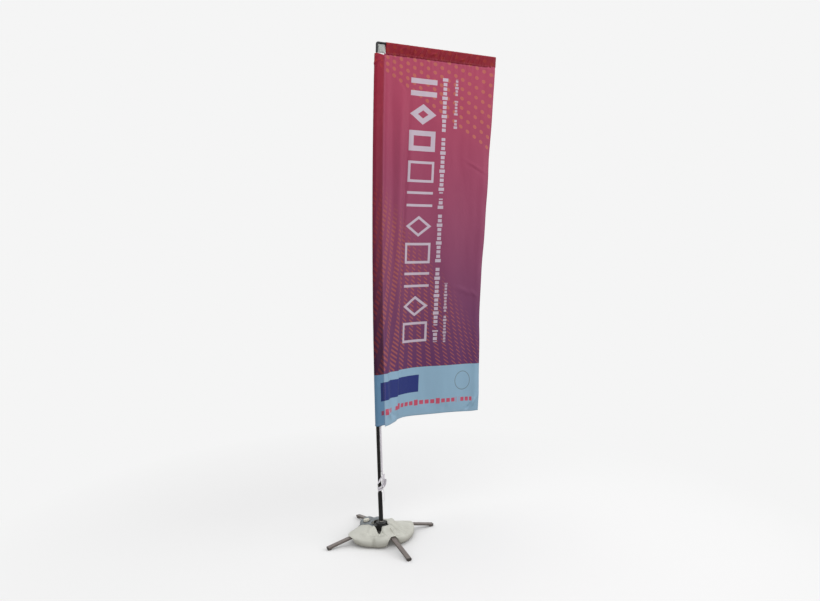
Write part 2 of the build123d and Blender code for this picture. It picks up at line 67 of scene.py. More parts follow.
# --- shader arithmetic --------------------------------------------------------------------------
class Num:
    """A number that changes over a surface. Arithmetic on it adds Math nodes to the node tree."""

    def __init__(self, tree, socket):
        self.tree = tree
        self.socket = socket

    def math(self, operation, *values):
        node = self.tree.nodes.new("ShaderNodeMath")
        node.operation = operation
        for slot, value in zip(node.inputs, values):
            if isinstance(value, Num):
                self.tree.links.new(value.socket, slot)
            else:
                slot.default_value = value
        return Num(self.tree, node.outputs[0])

    def clamp(self):
        held = self.math("ADD", self, 0.0)
        held.socket.node.use_clamp = True
        return held


def add_operators():
    """Gives Num its operators: the name of each one's Math operation, and whether its inputs swap."""
    pairs = {"add": "ADD", "sub": "SUBTRACT", "mul": "MULTIPLY", "truediv": "DIVIDE"}
    for name, operation in pairs.items():
        setattr(Num, f"__{name}__", lambda self, other, kind=operation: self.math(kind, self, other))
        setattr(Num, f"__r{name}__", lambda self, other, kind=operation: self.math(kind, other, self))
    plain = {"above": "GREATER_THAN", "below": "LESS_THAN", "most": "MAXIMUM", "modulo": "FLOORED_MODULO"}
    for name, operation in plain.items():
        setattr(Num, name, lambda self, other, kind=operation: self.math(kind, self, other))
    single = {"__abs__": "ABSOLUTE", "fract": "FRACT", "floor": "FLOOR", "sin": "SINE", "sqrt": "SQRT"}
    for name, operation in single.items():
        setattr(Num, name, lambda self, kind=operation: self.math(kind, self))


add_operators()

edge_softness = 0.0012  # width over which a printed edge fades, as ink does in knitted cloth


def inside(distance, soft=edge_softness):
    """1 where a distance is below zero, 0 above it, with a soft edge."""
    return (0.5 - distance / soft).clamp()


def box_distance(u, v, centre, half):
    """Distance to a box in the cloth, below zero inside it."""
    return (abs(u - centre[0]) - half[0]).most(abs(v - centre[1]) - half[1])


def span_box(u, v, u_low, u_high, v_low, v_high):
    """Distance to a box given by its limits."""
    centre = ((u_low + u_high) / 2, (v_low + v_high) / 2)
    return box_distance(u, v, centre, ((u_high - u_low) / 2, (v_high - v_low) / 2))


def outline(distance, stroke):
    """Distance to a line drawn just inside a shape's edge."""
    return abs(distance + stroke / 2) - stroke / 2


def rgb(red, green, blue):
    """A colour from 0-255 display values, as Blender's linear values."""
    return tuple(((value / 255 + 0.055) / 1.055) ** 2.4 if value > 10 else value / 3300
                 for value in (red, green, blue)) + (1.0,)


def darker(colour, share):
    """A 0-255 colour scaled down, as Blender's linear values."""
    return rgb(*[channel * share for channel in colour])


def mix(tree, factor, first, second, blend="MIX"):
    """A colour socket that mixes two colours or colour sockets by a Num or a number."""
    node = tree.nodes.new("ShaderNodeMix")
    node.data_type = "RGBA"
    node.blend_type = blend
    for slot, value in zip((node.inputs[0], node.inputs[6], node.inputs[7]), (factor, first, second)):
        if isinstance(value, Num):
            tree.links.new(value.socket, slot)
        elif isinstance(value, bpy.types.NodeSocket):
            tree.links.new(value, slot)
        else:
            slot.default_value = value
    return node.outputs[2]


def ramp(tree, value, stops):
    """A colour socket that runs through (place, colour) stops by a Num."""
    node = tree.nodes.new("ShaderNodeValToRGB")
    tree.links.new(value.socket, node.inputs[0])
    while len(node.color_ramp.elements) < len(stops):
        node.color_ramp.elements.new(0.5)
    for element, (place, colour) in zip(node.color_ramp.elements, stops):
        element.position = place
        element.color = colour
    return node.outputs[0]


# --- the flag's print ---------------------------------------------------------------------------
print_low, print_high = 0.60, 2.85
band_top = 0.944
ground_stops = [
    (0.90, (99, 55, 99)), (1.15, (109, 60, 99)), (1.45, (127, 66, 100)), (1.80, (145, 70, 101)),
    (2.15, (155, 66, 96)), (2.45, (165, 66, 94)), (2.73, (172, 69, 96)),
]
pale_ink, dash_ink, dot_ink = rgb(198, 186, 200), rgb(176, 96, 84), rgb(190, 112, 84)
band_ink, plate_ink = rgb(146, 179, 202), rgb(47, 58, 122)
grey_ink, line_ink = rgb(112, 122, 130), rgb(196, 84, 108)


def halftone_dots(u, v):
    """Rows of slanted dots in the upper corner, in rows that run down towards the free edge."""
    slant, lowest_row, column_width = 0.55, 2.659, 0.046
    cosine, sine = 0.77, 0.64  # each dot leans about 40 degrees
    half_length, half_width = 0.0135, 0.0095
    row_pitch = 0.036 + 0.035 * u
    column = 23.81 * u - 3.1 * u * u + 0.02
    row = (v - lowest_row + slant * u) / row_pitch
    across = (column.fract() - 0.5) * column_width
    up = ((row + 0.5).fract() - 0.5) * row_pitch - across * slant
    along = (across * cosine - up * sine) / half_length
    aside = (across * sine + up * cosine) / half_width
    reach = (along * along + aside * aside).sqrt()
    return inside(reach - 1, 0.25) * row.above(-0.5)


def dash_columns(u, v):
    """Columns of slanted dashes that fan out downwards, below a line that falls to the free edge."""
    fan_centre, fan_foot, crowding = 0.238, 0.955, 9.8
    offset = u - fan_centre
    frequency = 14 + 16.5 * (v - fan_foot)
    column = offset * frequency + crowding * offset * offset + 3.5
    density = frequency + 2 * crowding * offset  # columns in a metre of cloth
    across = (column.fract() - 0.5) / density
    middle = u - across
    row_pitch = middle * 0.017 + 0.0200
    slope = u * 0.75 + 0.55
    row = (v + slope * across + 0.35 * middle) / row_pitch
    height = abs(row.fract() - 0.5) * row_pitch
    half_length = 0.27 / density
    shape = ((abs(across) - half_length) * 0.8).most((height - (0.0050 - 0.0008 * u)) * 0.8)
    strength = ((2.044 - 1.176 * u - v) / 0.16).clamp()
    return inside(shape, 0.002) * strength


def title_shapes(u, v, low, count, pitch, stroke):
    """A column of plain outlines, a frame, a lozenge and a pair of bars in turn, where a title would be."""
    centre_u, half_u, half_v = 0.2595, 0.0865, pitch * 0.385
    place = (v - low) / pitch
    x = abs(u - centre_u)
    y = abs((place.fract() - 0.5) * pitch)
    frame_shape = outline((x - half_u).most(y - half_v), stroke)
    scale = half_u * half_v / math.hypot(half_u, half_v)
    lozenge = outline((x / half_u + y / half_v - 1) * scale, stroke)
    bars = (x - half_u).most(abs(y - half_v * 0.6) - stroke / 2)
    kind = place.floor().modulo(3)
    shape = kind.below(0.5) * inside(frame_shape) + kind.above(0.5) * kind.below(1.5) * inside(lozenge)
    shape = shape + kind.above(1.5) * inside(bars)
    return shape * inside(span_box(u, v, 0.1, 0.4, low, low + count * pitch))


def greeked_line(along, across, words, centre, half, pitch):
    """Words shown as rows of plain blocks. along runs with the line, across is square to it."""
    place = along / pitch
    tall = half * (1 + 0.45 * (place.floor().modulo(4)).below(0.5))
    block = (abs(place.fract() - 0.5) * pitch - pitch * 0.36).most(abs(across - centre) - tall)
    lines = None
    for low, high in words:
        word = inside(abs(along - (low + high) / 2) - (high - low) / 2)
        lines = word if lines is None else lines.most(word)
    return inside(block) * lines


def band_print(tree, colour, u, v):
    """What is printed on the blue band: a plain plate, a plain ring and one line of blocks."""
    colour = mix(tree, inside(span_box(u, v, -0.028, 0.306, 0.790, 0.897)), colour, plate_ink)
    ring = ((u - 0.603) * (u - 0.603) + (v - 0.842) * (v - 0.842)).sqrt() - 0.060
    colour = mix(tree, inside(outline(ring, 0.0045)) * 0.85, colour, grey_ink)
    line = greeked_line(u, v, [(-0.026, 0.078), (0.098, 0.560), (0.580, 0.680)], 0.722, 0.0125, 0.0345)
    return mix(tree, line, colour, line_ink)


def make_print_group():
    """The whole print as one node group: cloth place in, colour out."""
    tree = bpy.data.node_groups.new("flag_print", "ShaderNodeTree")
    tree.interface.new_socket("u", in_out="INPUT", socket_type="NodeSocketFloat")
    tree.interface.new_socket("v", in_out="INPUT", socket_type="NodeSocketFloat")
    tree.interface.new_socket("Color", in_out="OUTPUT", socket_type="NodeSocketColor")
    tree.interface.new_socket("Band", in_out="OUTPUT", socket_type="NodeSocketFloat")
    entry = tree.nodes.new("NodeGroupInput")
    u = Num(tree, entry.outputs["u"])
    v = Num(tree, entry.outputs["v"])
    span = print_high - print_low
    stops = [((height - print_low) / span, rgb(*shade)) for height, shade in ground_stops]
    colour = ramp(tree, (v - print_low) / span, stops)
    colour = mix(tree, halftone_dots(u, v) * 0.62, colour, dot_ink)
    colour = mix(tree, dash_columns(u, v) * 0.72, colour, dash_ink)
    thin = title_shapes(u, v, 1.083, 7, 0.1565, 0.0145)
    bold = title_shapes(u, v, 2.200, 3, 0.1505, 0.029)
    words = [(1.093, 1.165), (1.195, 1.545), (1.572, 1.862), (1.890, 1.950), (1.980, 2.300), (2.330, 2.643)]
    subtitle = greeked_line(v, u, words, 0.400, 0.0125, 0.0262)
    date = greeked_line(v, u, [(2.358, 2.412), (2.436, 2.520), (2.545, 2.645)], 0.479, 0.0085, 0.0190)
    place = greeked_line(v, u, [(1.090, 1.252), (1.276, 1.450)], 0.461, 0.0082, 0.0190)
    letters = thin.most(bold).most(subtitle).most(date * 0.85).most(place * 0.8)
    colour = mix(tree, letters * 0.92, colour, pale_ink)
    band = inside(v - band_top)
    blue = band_print(tree, band_ink, u, v)
    colour = mix(tree, band, colour, blue)
    leave = tree.nodes.new("NodeGroupOutput")
    tree.links.new(colour, leave.inputs["Color"])
    tree.links.new(band.socket, leave.inputs["Band"])
    return tree


print_group = make_print_group()


# --- materials ----------------------------------------------------------------------------------
def new_material(name, roughness, metallic=0.0, specular=0.5, sheen=0.0, coat=0.0):
    """A material with one Principled shader whose plain numbers are set on its own sockets."""
    material = bpy.data.materials.new(name)
    material.use_nodes = True
    tree = material.node_tree
    shader = tree.nodes["Principled BSDF"]
    shader.inputs["Roughness"].default_value = roughness
    shader.inputs["Metallic"].default_value = metallic
    shader.inputs["Specular IOR Level"].default_value = specular
    shader.inputs["Sheen Weight"].default_value = sheen
    shader.inputs["Sheen Roughness"].default_value = 0.4
    shader.inputs["Coat Weight"].default_value = coat
    shader.inputs["Coat Roughness"].default_value = 0.3
    return material, tree, shader


def place_of(tree, stretch=(1.0, 1.0, 1.0)):
    """The socket of the place on the piece, in metres, which moves with it."""
    coordinates = tree.nodes.new("ShaderNodeTexCoord")
    mapping = tree.nodes.new("ShaderNodeMapping")
    mapping.inputs["Scale"].default_value = stretch
    tree.links.new(coordinates.outputs["Object"], mapping.inputs["Vector"])
    return mapping.outputs["Vector"]


def noise_at(tree, place, scale, detail=3.0, roughness=0.55):
    """A noise pattern as a Num from 0 to 1."""
    node = tree.nodes.new("ShaderNodeTexNoise")
    node.inputs["Scale"].default_value = scale
    node.inputs["Detail"].default_value = detail
    node.inputs["Roughness"].default_value = roughness
    tree.links.new(place, node.inputs["Vector"])
    return Num(tree, node.outputs["Fac"])


def add_bump(tree, shader, height, distance, strength=1.0):
    """Bumps a shader by a height Num, on top of any bump it has."""
    node = tree.nodes.new("ShaderNodeBump")
    node.inputs["Distance"].default_value = distance
    node.inputs["Strength"].default_value = strength
    tree.links.new(height.socket, node.inputs["Height"])
    before = shader.inputs["Normal"]
    if before.is_linked:
        tree.links.new(before.links[0].from_socket, node.inputs["Normal"])
    tree.links.new(node.outputs["Normal"], shader.inputs["Normal"])


def axes_of(tree, vector):
    """The X, Y and Z of a vector socket, as three Nums."""
    split = tree.nodes.new("ShaderNodeSeparateXYZ")
    tree.links.new(vector, split.inputs["Vector"])
    return [Num(tree, split.outputs[axis]) for axis in "XYZ"]


def solid_finish(name, colour, worn, roughness, metallic=0.0, grain=(1.0, 1.0, 1.0), grain_scale=60.0,
                 grit_scale=900.0, grit=0.00008, wear=0.25, specular=0.5, coat=0.0):
    """A hard surface: grain streaks, scuffed patches in a second colour and a fine grit in the relief."""
    material, tree, shader = new_material(name, roughness, metallic, specular, coat=coat)
    streaks = noise_at(tree, place_of(tree, grain), grain_scale, 5.0)
    patches = noise_at(tree, place_of(tree), 22.0, 4.0, 0.65)
    shade = mix(tree, (streaks - 0.42) * 1.4, rgb(*colour), darker(colour, 0.82))
    scuffs = ((patches * 0.55 + streaks * 0.45 - 0.56) * 9.0).clamp() * wear
    tree.links.new(mix(tree, scuffs, shade, rgb(*worn)), shader.inputs["Base Color"])
    rough = (streaks - 0.5) * 0.22 + roughness + scuffs * 0.25
    tree.links.new(rough.clamp().socket, shader.inputs["Roughness"])
    add_bump(tree, shader, noise_at(tree, place_of(tree), grit_scale, 2.0), grit, 0.6)
    return material


def cloth_place(tree):
    """The cloth place (u, v) of a piece of the flag, from its own map."""
    node = tree.nodes.new("ShaderNodeUVMap")
    node.uv_map = "cloth"
    return axes_of(tree, node.outputs["UV"])[:2]


def knit_bump(tree, shader, u, v, pitch=0.0012, depth=0.00012):
    """The fine ribs of warp-knitted polyester."""
    turn = 2 * math.pi / pitch
    ribs = (u * turn).sin() * 0.5 + (v * turn * 0.8 + (u * turn).sin()).sin() * 0.5
    add_bump(tree, shader, ribs, depth, 0.35)


def stitch_line(distance, along, pitch=0.0034, half_width=0.0006):
    """A row of machine stitches on a line where a distance is zero."""
    thread = (abs(distance) - half_width).most(abs((along / pitch).fract() - 0.5) * pitch - pitch * 0.36)
    return inside(thread, 0.0004)


def flag_material(name, shade_tint, low_shade_tint, band_shade_tint, stitched):
    """Printed flag cloth. The tints are painted shade: they darken the print where it lies over a dark tube
    with no light coming through it, most at the bottom.
    """
    material, tree, shader = new_material(name, 0.6, specular=0.18, sheen=0.06)
    u, v = cloth_place(tree)
    group = tree.nodes.new("ShaderNodeGroup")
    group.node_tree = print_group
    tree.links.new(u.socket, group.inputs["u"])
    tree.links.new(v.socket, group.inputs["v"])
    band = Num(tree, group.outputs["Band"])
    # Painted shade: the tints darken the print, the low tint more towards the bottom and the band tint on the
    # blue band.
    lower = mix(tree, ((2.6 - v) / 1.6).clamp(), shade_tint, low_shade_tint)
    colour = mix(tree, 1.0, group.outputs["Color"], mix(tree, band, lower, band_shade_tint), "MULTIPLY")
    patches = noise_at(tree, place_of(tree, (1.0, 1.0, 0.35)), 9.0, 4.0)
    colour = mix(tree, (patches - 0.35) * 0.35, colour, (0.62, 0.62, 0.66, 1.0), "MULTIPLY")
    stitches = stitched(u, v)
    colour = mix(tree, stitches * 0.22, colour, rgb(214, 150, 168))
    tree.links.new(colour, shader.inputs["Base Color"])
    knit_bump(tree, shader, u, v)
    add_bump(tree, shader, stitches, 0.0004, 0.8)
    rough = (patches - 0.5) * 0.2 + 0.6
    tree.links.new(rough.socket, shader.inputs["Roughness"])
    return material


hem_turn = 0.012


def field_stitches(u, v):
    """Hem stitches round the field's free sides and a double row beside the mast sleeve."""
    free = stitch_line(u - (field_width - hem_turn), v)
    bottom = stitch_line(v - (field_bottom + hem_turn), u)
    sleeve = stitch_line(u - 0.0035, v).most(stitch_line(u - 0.0085, v))
    top = stitch_line(v - (field_top - 0.006), u)
    return free.most(bottom).most(sleeve).most(top)


def mast_sleeve_stitches(u, v):
    """Stitches beside the seam and round the open lower hem."""
    return stitch_line(u + 0.0045, v).most(stitch_line(v - (sleeve_bottom + 0.010), u))


def top_sleeve_stitches(u, v):
    """Two rows of stitches along the seam below the arm and one round the open end."""
    rows = stitch_line(v - (field_top + 0.004), u).most(stitch_line(v - (field_top + 0.009), u))
    return rows.most(stitch_line(u - (field_width - 0.006), v))


def webbing_material(name, colour, pitch=0.0016):
    """Woven tape: ribs across its length and faint soiling."""
    material, tree, shader = new_material(name, 0.7, specular=0.3, sheen=0.3)
    u, v = cloth_place(tree)
    turn = 2 * math.pi / pitch
    ribs = (v * turn).sin() * 0.5 + ((u + v) * turn * 0.7).sin() * 0.5
    soil = noise_at(tree, place_of(tree), 70.0, 4.0)
    shade = mix(tree, (soil - 0.35) * 0.8, rgb(*colour), darker(colour, 0.82))
    shade = mix(tree, (ribs * 0.5 + 0.5) * 0.18, shade, darker(colour, 0.7))
    tree.links.new(shade, shader.inputs["Base Color"])
    add_bump(tree, shader, ribs, 0.00025, 0.7)
    return material


def coated_fabric(name, colour, dark_colour, roughness=0.5):
    """PVC-coated fabric: the scrim's grid shows through, and it is darker towards the floor and in patches.
    """
    material, tree, shader = new_material(name, roughness, specular=0.45, coat=0.05)
    place = place_of(tree)
    clouds = noise_at(tree, place, 11.0, 5.0, 0.6)
    specks = noise_at(tree, place, 160.0, 3.0, 0.7)
    x, y, height = axes_of(tree, place)
    # Darker below about 45 mm towards the floor, and in cloudy patches.
    low_and_patch_darkening = ((0.045 - height) / 0.05).clamp() * 0.5 + ((clouds - 0.5) * 4.0).clamp() * 0.35
    shade = mix(tree, (clouds - 0.3) * 0.5, rgb(*colour), darker(colour, 0.93))
    shade = mix(tree, low_and_patch_darkening * 0.55, shade, rgb(*dark_colour))
    shade = mix(tree, ((specks - 0.62) * 6.0).clamp() * 0.22, shade, rgb(*dark_colour))
    tree.links.new(shade, shader.inputs["Base Color"])
    rough = (clouds - 0.5) * 0.25 + (low_and_patch_darkening * 0.2 + roughness)
    tree.links.new(rough.clamp().socket, shader.inputs["Roughness"])
    scrim_pitch = 0.0022
    turn = 2 * math.pi / scrim_pitch
    scrim = (x * turn).sin() + (y * turn).sin()
    add_bump(tree, shader, scrim, 0.00008, 0.5)
    add_bump(tree, shader, noise_at(tree, place, 38.0, 4.0), 0.0012, 0.35)
    return material


unshaded_tint = (1.0, 1.0, 1.0, 1.0)
field_cloth = flag_material("field_cloth", unshaded_tint, unshaded_tint, unshaded_tint, field_stitches)
# Painted shade: the sleeves' print is darkened, the mast sleeve more so low down and on its blue band, where
# the cloth lies doubled over a dark tube and no light comes through it.
mast_sleeve_cloth = flag_material("mast_sleeve_cloth", (0.72, 0.19, 0.31, 1.0), (0.31, 0.17, 0.27, 1.0),
                                  (0.40, 0.51, 0.62, 1.0), mast_sleeve_stitches)
top_sleeve_cloth = flag_material("top_sleeve_cloth", (0.60, 0.16, 0.20, 1.0), unshaded_tint, unshaded_tint,
                                 top_sleeve_stitches)
strap_tape = webbing_material("strap_tape", (224, 220, 227))
pale_patch = webbing_material("pale_patch", (186, 190, 186), pitch=0.0022)
bag_skin = coated_fabric("bag_skin", (187, 187, 178), (118, 110, 98))
panel_skin = coated_fabric("panel_skin", (112, 118, 122), (86, 84, 80), 0.6)

upright_grain = (1.0, 1.0, 0.03)
finishes = {
    "hub_black": solid_finish("hub_black", (30, 30, 30), (74, 72, 70), 0.5, grit=0.00025, wear=0.35),
    "steel": solid_finish("steel", (150, 150, 150), (104, 96, 88), 0.34, metallic=1.0, wear=0.3),
    "nylon": solid_finish("nylon", (208, 204, 194), (176, 170, 158), 0.45, wear=0.2),
    "leg_steel": solid_finish("leg_steel", (118, 110, 106), (158, 152, 146), 0.46, metallic=0.25,
                              wear=0.45, grit=0.00012),
    "foot_plastic": solid_finish("foot_plastic", (74, 69, 66), (104, 98, 94), 0.6, wear=0.4, grit=0.0002),
    "socket_black": solid_finish("socket_black", (30, 29, 29), (84, 82, 80), 0.38, metallic=0.2,
                                 grain=upright_grain, wear=0.3),
    "mast_alloy": solid_finish("mast_alloy", (33, 32, 31), (92, 90, 88), 0.36, metallic=0.35,
                               grain=upright_grain, grain_scale=240.0, wear=0.2),
    "mast_fibreglass": solid_finish("mast_fibreglass", (40, 39, 41), (70, 70, 74), 0.34,
                                    grain=upright_grain, grain_scale=300.0, wear=0.15, coat=0.2),
    "black_plastic": solid_finish("black_plastic", (26, 27, 30), (60, 60, 62), 0.42, wear=0.25),
    "neck_plastic": solid_finish("neck_plastic", (44, 46, 48), (76, 76, 76), 0.5, wear=0.3),
    "cap_plastic": solid_finish("cap_plastic", (206, 203, 190), (156, 150, 136), 0.42, wear=0.35,
                                grit=0.00015),
    "seal_rubber": solid_finish("seal_rubber", (32, 32, 32), (58, 56, 54), 0.75, wear=0.2),
}
slots_of_nodes = {
    "hub_black": ["hub_body"],
    "steel": ["spindle", "spindle_washer", "spindle_nut", "circlip", "pivot_bolts", "pivot_nuts"],
    "nylon": ["thrust_washer", "lower_bearing", "upper_bearing"],
    "leg_steel": [f"{part}_{leg}" for leg in leg_angles for part in ("leg_tube", "leg_knuckle")],
    "foot_plastic": [f"foot_cap_{leg}" for leg in leg_angles],
    "socket_black": ["socket_tube"],
    "mast_alloy": ["mast_lower", "mast_middle", "lower_ferrule", "upper_ferrule"],
    "mast_fibreglass": ["mast_upper", "top_arm"],
    "black_plastic": ["mast_stop", "mast_foot_plug", "corner_elbow", "arm_end_cap"],
    "neck_plastic": ["filler_neck"],
    "cap_plastic": ["filler_cap"],
    "seal_rubber": ["filler_seal"],
}


def finish_node(name, material):
    """Gives a CAD node its material."""
    nodes[name].data.materials.clear()
    nodes[name].data.materials.append(material)


for slot_name, members in slots_of_nodes.items():
    for member in members:
        finish_node(member, finishes[slot_name])


# --- mesh helpers -------------------------------------------------------------------------------
def grid_piece(name, points, places, material, closed_rows=False, closed_columns=False):
    """A mesh piece from a (rows, columns, 3) array of points, with (u, v) places as its cloth map."""
    rows, columns = points.shape[:2]
    index = np.arange(rows * columns).reshape(rows, columns)
    row_ends = index if not closed_rows else np.vstack([index, index[:1]])
    ends = row_ends if not closed_columns else np.hstack([row_ends, row_ends[:, :1]])
    faces = np.stack([ends[:-1, :-1], ends[:-1, 1:], ends[1:, 1:], ends[1:, :-1]], -1).reshape(-1, 4)
    mesh = bpy.data.meshes.new(name)
    mesh.from_pydata(points.reshape(-1, 3).tolist(), [], faces.tolist())
    flat_places = places.reshape(-1, 2)
    corners = np.empty(len(mesh.loops), np.int32)
    mesh.loops.foreach_get("vertex_index", corners)
    cloth_map = mesh.uv_layers.new(name="cloth")
    cloth_map.data.foreach_set("uv", flat_places[corners].astype(np.float32).ravel())
    mesh.materials.append(material)
    return link_piece(name, mesh)


def link_piece(name, mesh):
    """An object of a mesh, smooth shaded, in the scene."""
    mesh.shade_smooth()
    piece = bpy.data.objects.new(name, mesh)
    bpy.context.scene.collection.objects.link(piece)
    return piece


def thicken(piece, thickness, offset=0.0):
    """Gives a sheet its real thickness."""
    modifier = piece.modifiers.new("thickness", "SOLIDIFY")
    modifier.thickness = thickness
    modifier.offset = offset
    modifier.use_rim = True


def smooth_curve(knots, values):
    """A natural cubic spline through (knots, values), as a function of numpy arrays."""
    knots, values = np.array(knots, float), np.array(values, float)
    step, count = np.diff(knots), len(knots)
    matrix, right = np.eye(count), np.zeros(count)
    for i in range(1, count - 1):
        matrix[i, i - 1:i + 2] = step[i - 1], 2 * (step[i - 1] + step[i]), step[i]
        right[i] = 6 * ((values[i + 1] - values[i]) / step[i] - (values[i] - values[i - 1]) / step[i - 1])
    bend = np.linalg.solve(matrix, right)

    def curve(x):
        i = np.clip(np.searchsorted(knots, x) - 1, 0, count - 2)
        left, rest = x - knots[i], knots[i + 1] - x
        h = step[i]
        cubic = (bend[i] * rest ** 3 + bend[i + 1] * left ** 3) / (6 * h)
        linear = (values[i] / h - bend[i] * h / 6) * rest + (values[i + 1] / h - bend[i + 1] * h / 6) * left
        return cubic + linear

    return curve


def bell(x, centre, width):
    """1 at the centre, falling smoothly to nothing over about twice the width."""
    return np.exp(-((x - centre) / width) ** 2)


def ease(x, low, high):
    """0 below low, 1 above high, smooth between them."""
    t = np.clip((x - low) / (high - low), 0, 1)
    return t * t * (3 - 2 * t)


def cloud(points, scale, seed=0.0):
    """Smooth noise about zero at each point of an array."""
    flat = points.reshape(-1, 3) * scale + seed
    values = [noise.noise(Vector(point)) for point in flat.tolist()]
    return np.array(values).reshape(points.shape[:-1])


# --- flag: field --------------------------------------------------------------------------------
arm_out = np.array([math.cos(arm_droop), 0.0, -math.sin(arm_droop)])
arm_down = np.array([-math.sin(arm_droop), 0.0, -math.cos(arm_droop)])
sideways = np.array([0.0, 1.0, 0.0])
hem_shares = (0.00, 0.10, 0.24, 0.34, 0.55, 0.78, 1.00)
hem_forward = smooth_curve(hem_shares, (0.0485, 0.118, 0.214, 0.290, 0.455, 0.620, 0.752))
hem_back = smooth_curve(hem_shares, (0.0, 0.052, 0.132, 0.160, 0.148, 0.121, 0.100))


edge_bow, bow_height = 0.029, 1.40  # how far, and where, the free edge bows in towards the mast


def bow_offset(height):
    """How far the mast's centre line stands along +X at a height."""
    rise = np.maximum(height - socket_top, 0.0)
    return bow_radius - np.sqrt(bow_radius ** 2 - rise ** 2)


def field_point(u, v):
    """The middle of the cloth at a cloth place, before its small folds."""
    share = u / field_width
    swing = (np.clip(field_top - v, 0, None) / (field_top - field_bottom)) ** 1.6
    x = seam_x + u + swing * (hem_forward(share) - seam_x - u)
    spread = np.where(v > bow_height, 0.85, 0.56)
    x = x - edge_bow * np.exp(-((v - bow_height) / spread) ** 2) * share ** 3
    y = swing * hem_back(share)
    points = x[..., None] * arm_out + y[..., None] * sideways
    points[..., 0] += bow_offset(v)
    points[..., 2] += v
    return points


# Long folds: place at the top, drift per metre down, half width, height towards the front, and the
# heights between which it lies.
long_folds = [
    (0.016, 0.006, 0.013, 0.0050, 0.66, 2.68),
    (0.060, 0.010, 0.022, -0.0095, 0.66, 2.60),
    (0.118, 0.004, 0.024, 0.0105, 0.70, 2.62),
    (0.166, -0.010, 0.013, -0.0080, 0.66, 2.50),
    (0.215, -0.004, 0.030, 0.0020, 0.66, 1.70),
    (0.400, 0.060, 0.070, 0.0030, 0.80, 2.30),
    (0.560, 0.030, 0.050, -0.0030, 0.66, 2.20),
    (0.690, 0.010, 0.026, 0.0045, 0.66, 2.40),
]
# Short pulls: place, direction in degrees, length, half width and height towards the front.
short_pulls = [
    (0.630, 2.150, -24, 0.130, 0.010, 0.0018), (0.655, 2.120, -26, 0.110, 0.008, -0.0016),
    (0.600, 1.400, -18, 0.120, 0.016, 0.0026), (0.680, 1.380, -40, 0.060, 0.012, 0.0024),
    (0.690, 0.700, 52, 0.060, 0.014, 0.0080), (0.650, 0.672, 38, 0.050, 0.010, -0.0052),
    (0.730, 0.745, 68, 0.040, 0.010, 0.0045), (0.045, 0.700, -48, 0.060, 0.012, 0.0068),
    (0.095, 0.685, -36, 0.050, 0.012, -0.0050), (0.140, 0.705, -60, 0.060, 0.012, 0.0055),
    (0.330, 0.690, 62, 0.050, 0.018, 0.0024), (0.480, 0.680, 72, 0.045, 0.018, -0.0022),
    (0.060, 2.640, -52, 0.110, 0.010, 0.0024), (0.100, 2.600, -48, 0.120, 0.010, -0.0020),
    (0.700, 2.640, 58, 0.080, 0.010, 0.0022),
]


def fold_height(u, v):
    """How far the cloth stands forward of its middle surface at a cloth place."""
    drop = field_top - v
    height = np.zeros_like(u)
    for place, drift, width, depth, low, high in long_folds:
        wander = 0.006 * np.sin(v * 3.1 + place * 40)
        length = ease(v, low - 0.10, low + 0.15) * (1 - ease(v, high - 0.35, high + 0.08))
        height += depth * bell(u, place + drift * drop + wander, width) * length
    for place_u, place_v, turn, length, width, depth in short_pulls:
        cosine, sine = math.cos(math.radians(turn)), math.sin(math.radians(turn))
        along = (u - place_u) * cosine + (v - place_v) * sine
        aside = (v - place_v) * cosine - (u - place_u) * sine
        height += depth * bell(along, 0, length * 0.6) * bell(aside, 0, width)
    gather_pitch, gather_length, gather_height = 0.034, 0.05, 0.0011
    gathers = np.sin(u * 2 * math.pi / gather_pitch + 2.2 * np.sin(u * 23)) * np.exp(-drop / gather_length)
    height += gather_height * gathers * ease(u, 0.0, 0.03)
    edge_wave = 0.0035 * np.sin(v * 7.3 + 1.0) + 0.0018 * np.sin(v * 19.1)
    height += edge_wave * bell(u, field_width, 0.05)
    hem_wave = 0.004 * np.sin(u * 21.0 + 0.6) * bell(v, field_bottom, 0.06) * ease(u, 0.02, 0.12)
    return (height + hem_wave) * ease(u, -0.004, 0.012)


def make_field():
    """The printed cloth from the mast sleeve's seam to the free edge."""
    tucked = 0.003
    columns = np.linspace(-tucked, field_width, 170)
    rows = np.linspace(field_bottom, field_top + 0.006, 420)
    u, v = np.meshgrid(columns, rows)
    points = field_point(np.clip(u, 0, None), v)
    points[..., 1] += 0.0016 * ease(v, field_top - 0.010, field_top)
    points[..., 0] += np.clip(u, None, 0)
    along = np.gradient(points, axis=1)
    upwards = np.gradient(points, axis=0)
    forward = np.cross(along, upwards)
    forward /= np.linalg.norm(forward, axis=-1, keepdims=True)
    stretched = points * (1.0, 1.0, 0.30)
    crumple = 0.0030 * cloud(stretched, 9.0) + 0.0011 * cloud(stretched, 26.0, 7.0)
    loose = ease(u, 0.0, 0.02) * ease(field_top - v, 0.0, 0.05)
    points += forward * (fold_height(u, v) + crumple * loose)[..., None]
    piece = grid_piece("flag_cloth", points, np.stack([u, v], -1), field_cloth)
    thicken(piece, cloth_thick)
    return piece


flag_cloth = make_field()


# --- flag: sleeves ------------------------------------------------------------------------------
def teardrop(radius, reach, count):
    """A teardrop outline from its seam round the pole and back: (out, side, distance from the seam)."""
    touch = math.acos(radius / reach)
    straight = math.sqrt(reach ** 2 - radius ** 2)
    round_length = 2 * (math.pi - touch) * radius
    total = 2 * straight + round_length
    places = []
    for step in range(count):
        run = total * step / (count - 1)
        if run < straight:
            share = run / straight
            out = reach + (radius * math.cos(touch) - reach) * share
            side = -radius * math.sin(touch) * share
        elif run < straight + round_length:
            angle = -touch - (run - straight) / radius
            out, side = radius * math.cos(angle), radius * math.sin(angle)
        else:
            share = (total - run) / straight
            out = reach + (radius * math.cos(touch) - reach) * share
            side = radius * math.sin(touch) * share
        places.append((out, side, min(run, total - run)))
    return np.array(places)


seam_gap = 0.0006


